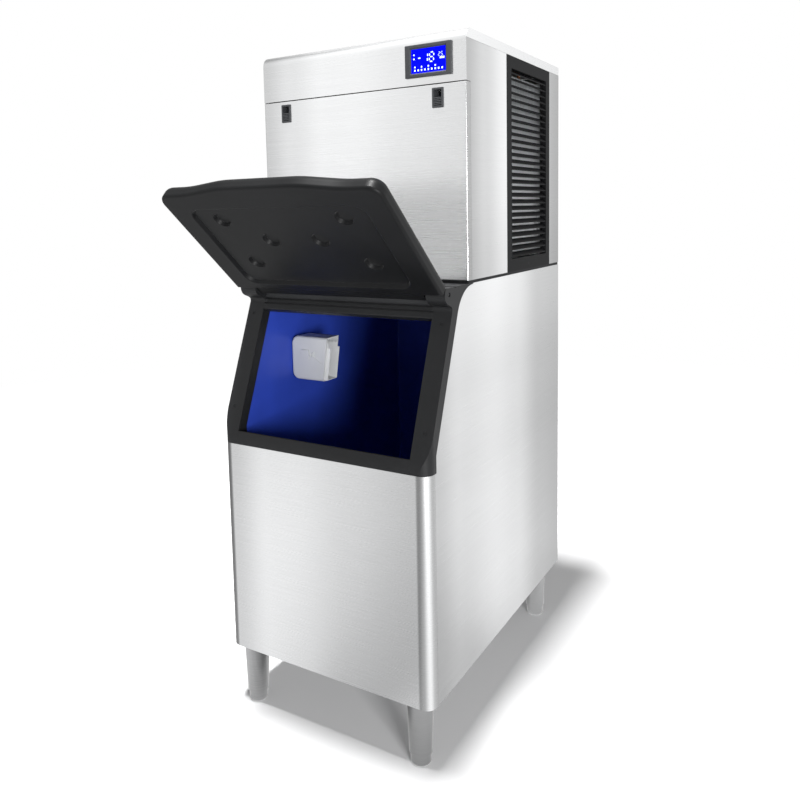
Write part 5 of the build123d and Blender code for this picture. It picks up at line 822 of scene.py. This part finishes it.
class ICEMACHINE_OT_display(bpy.types.Operator):
    """Lit screen with plain digits and marks"""
    bl_idname = "icemachine.display"
    bl_label = "Display"

    def execute(self, context):
        colours = context.scene.ice_machine_colours
        low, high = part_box("display_screen")
        paint(self.glow("screen_backlight", Vector(colours.screen), 0.55), "display_screen")
        ink = self.glow("screen_ink", Vector(colours.digits), 1.0)
        middle = (low + high) / 2
        height = context.scene.ice_machine_sizes.digit_height
        bm = bmesh.new()
        for signs, across, up, share in DISPLAY_TEXTS:
            self.digits(bm, signs, (middle.x + across * MM, middle.z + up * MM), height * share, low.y)
        new_object("display_digits", mesh_from(bm, "display_digits", ink), "cabinet")
        bar = [(-1, -0.5), (1, -0.5), (1, 0.5), (-1, 0.5)]
        for name, shape_name, outline, size, marks in (
                ("display_marks", "mark_shape", bar, BAR_MARK_SIZE, BAR_MARKS),
                ("display_lamps", "lamp_shape", ring(1, 16), DOT_MARK_SIZE, DOT_MARKS)):
            shape = bmesh.new()
            add_prism(shape, outline, Matrix.Identity(4), 0.2)
            points = [(middle.x + across * MM, low.y, middle.z + up * MM) for across, up in marks]
            grow(name, node_group("repeat_on_points"),
                 {"Shape": template(shape_name, shape), "Turn": (math.radians(90), 0, 0), "Size": size,
                  "Material": ink}, "cabinet", points)
        return {"FINISHED"}

    def glow(self, name, colour, strength):
        """A lit surface whose tone wavers a little from place to place."""
        material = bpy.data.materials.new(name)
        material.use_nodes = True
        nodes, links = material.node_tree.nodes, material.node_tree.links
        shader = nodes["Principled BSDF"]
        place = nodes.new("ShaderNodeTexCoord")
        cells = noise(nodes, scale=35.0)
        tone = colour_mix(nodes)
        tone.inputs["A"].default_value = (*colour, 1)
        tone.inputs["B"].default_value = (*(colour * 0.8), 1)
        links.new(place.outputs["Object"], cells.inputs["Vector"])
        links.new(cells.outputs[0], tone.inputs["Factor"])
        links.new(tone.outputs["Result"], shader.inputs["Base Color"])
        links.new(tone.outputs["Result"], shader.inputs["Emission Color"])
        shader.inputs["Emission Strength"].default_value = strength
        shader.inputs["Specular IOR Level"].default_value = 0.02
        shader.inputs["Roughness"].default_value = 0.2
        return material

    def digits(self, bm, text, middle, height, face_y):
        """Seven-bar digits, side by side round a middle point."""
        width = height * DIGIT_WIDTH
        bar = height * DIGIT_BAR
        step = width + height * DIGIT_GAP
        start = middle[0] - step * (len(text) - 1) / 2
        for index, sign in enumerate(text):
            x = start + index * step
            for segment in SEGMENTS[sign]:
                across = segment in "agd"
                half = (width if across else height / 2) / 2 - bar * 0.7
                dx = {"b": width / 2, "c": width / 2, "e": -width / 2, "f": -width / 2}.get(segment, 0)
                dz = {"a": height / 2, "d": -height / 2, "b": height / 4, "f": height / 4,
                      "c": -height / 4, "e": -height / 4}.get(segment, 0)
                slope = DIGIT_SLOPE * dz
                outline = [(-half, 0), (-half + bar / 2, bar / 2), (half - bar / 2, bar / 2),
                           (half, 0), (half - bar / 2, -bar / 2), (-half + bar / 2, -bar / 2)]
                turn = Matrix.Rotation(0 if across else math.radians(90), 4, "Z")
                place = Matrix.Translation((x + dx + slope, face_y, middle[1] + dz))
                add_prism(bm, outline, place @ Matrix.Rotation(math.radians(90), 4, "X") @ turn, DIGIT_RISE)


# Screws

class ICEMACHINE_OT_screws(bpy.types.Operator):
    """Cross-head screws on the back panels"""
    bl_idname = "icemachine.screws"
    bl_label = "Screws"

    def execute(self, context):
        radius = context.scene.ice_machine_sizes.screw_radius
        tone = Vector(context.scene.ice_machine_colours.steel)
        bright = steel("screw_steel", tone * 0.8, tone * 0.6, roughness=0.24, stretch=(60, 60, 60))
        low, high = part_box("head_back_panel")
        back = high.y
        rows = (low.z + HEAD_SCREW_INSET, (low.z + high.z) / 2, high.z - HEAD_SCREW_INSET)
        points = self.pairs(low.x + HEAD_SCREW_INSET, high.x - HEAD_SCREW_INSET, back, rows)
        low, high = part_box("bin_back_panel")
        first, last = low.z + BIN_SCREW_END, high.z - BIN_SCREW_END
        rows = [first + (last - first) * i / (BIN_SCREW_ROWS - 1) for i in range(BIN_SCREW_ROWS)]
        points += self.pairs(low.x + BIN_SCREW_INSET, high.x - BIN_SCREW_INSET, back, rows)
        grow("back_screws", node_group("repeat_on_points"),
             {"Shape": template("screw_shape", self.cross_head()), "Turn": (math.radians(-90), 0, 0),
              "Size": (radius, radius, radius), "Material": bright}, "cabinet", points)
        return {"FINISHED"}

    def pairs(self, left, right, back, rows):
        """A screw at each side of every row."""
        return [(x, back, z) for z in rows for x in (left, right)]

    def cross_head(self):
        """A low domed head of unit radius with a cross recess, standing on Z = 0."""
        bm = bmesh.new()
        arm, reach, depth = 0.13, 0.55, 0.18
        cross = [(arm, arm), (arm, reach), (-arm, reach), (-arm, arm), (-reach, arm), (-reach, -arm),
                 (-arm, -arm), (-arm, -reach), (arm, -reach), (arm, -arm), (reach, -arm), (reach, arm)]
        sides, top, taper = 24, 0.4, 0.8
        foot, rim, shoulder = ([bm.verts.new((x, y, z)) for x, y in ring(radius, sides)]
                               for radius, z in ((1.0, 0), (0.96, 0.22), (0.72, 0.36)))
        mouth = [bm.verts.new((x, y, top)) for x, y in cross]
        pit = [bm.verts.new((x * taper, y * taper, top - depth)) for x, y in cross]
        bm.faces.new(reversed(foot))
        add_wall(bm, foot, rim)
        add_wall(bm, rim, shoulder)
        add_wall(bm, mouth, pit)
        bm.faces.new(pit)
        edges = [bm.edges.get((loop[i - 1], loop[i])) for loop in (shoulder, mouth) for i in range(len(loop))]
        bmesh.ops.triangle_fill(bm, use_beauty=True, edges=edges)
        return bm


# Threads

class ICEMACHINE_OT_threads(bpy.types.Operator):
    """Wound threads on the water inlet and the bin drain"""
    bl_idname = "icemachine.threads"
    bl_label = "Pipe threads"

    def execute(self, context):
        pitch = context.scene.ice_machine_sizes.thread_pitch
        mounts = {mount["name"]: mount for mount in frame["record"]["mounts"]}
        brass = bpy.data.materials["turned_brass"]
        white = bpy.data.materials["wet_side_white"]
        for mount, name, material, slot in (("water_inlet_thread", "inlet_thread", brass, "brass"),
                                            ("bin_drain_thread", "drain_thread", white, "white_plastic")):
            facts = mounts[mount]
            radius = facts["dims"]["r_mm"] * MM
            length = facts["dims"]["length_mm"] * MM
            place = Vector(facts["pos_m"]) - Vector((0, length / 2 - THREAD_RUNOUT, 0))
            grow(name, node_group("pipe_thread"),
                 {"Radius": radius - THREAD_SUNK, "Pitch": pitch, "Turns": (length - 2 * THREAD_RUNOUT) / pitch,
                  "Ridge": THREAD_RIDGE, "Turn": (math.radians(-90), 0, 0), "Place": tuple(place),
                  "Material": material}, "cabinet")
        return {"FINISHED"}


# Panel and registration

STEPS = (
    ICEMACHINE_OT_stage, ICEMACHINE_OT_cabinets, ICEMACHINE_OT_mouldings, ICEMACHINE_OT_scoop,
    ICEMACHINE_OT_works, ICEMACHINE_OT_display, ICEMACHINE_OT_screws, ICEMACHINE_OT_threads,
)


class ICEMACHINE_PT_panel(bpy.types.Panel):
    """Steps and settings of the ice machine"""
    bl_idname = "ICEMACHINE_PT_panel"
    bl_label = "Ice machine"
    bl_space_type = "VIEW_3D"
    bl_region_type = "UI"
    bl_category = "Ice machine"

    def draw(self, context):
        layout = self.layout
        for step in STEPS:
            layout.operator(step.bl_idname)
        for settings in (context.scene.ice_machine_colours, context.scene.ice_machine_sizes):
            box = layout.box()
            for name in settings.__annotations__:
                box.prop(settings, name)


CLASSES = (IceMachineColours, IceMachineSizes, *STEPS, ICEMACHINE_PT_panel)


def register():
    for item in CLASSES:
        bpy.utils.register_class(item)
    bpy.types.Scene.ice_machine_colours = bpy.props.PointerProperty(type=IceMachineColours)
    bpy.types.Scene.ice_machine_sizes = bpy.props.PointerProperty(type=IceMachineSizes)


def unregister():
    del bpy.types.Scene.ice_machine_colours
    del bpy.types.Scene.ice_machine_sizes
    for item in reversed(CLASSES):
        bpy.utils.unregister_class(item)


def main():
    register()
    for step in STEPS:
        family, name = step.bl_idname.split(".")
        getattr(getattr(bpy.ops, family), name)()


if __name__ == "__main__":
    main()
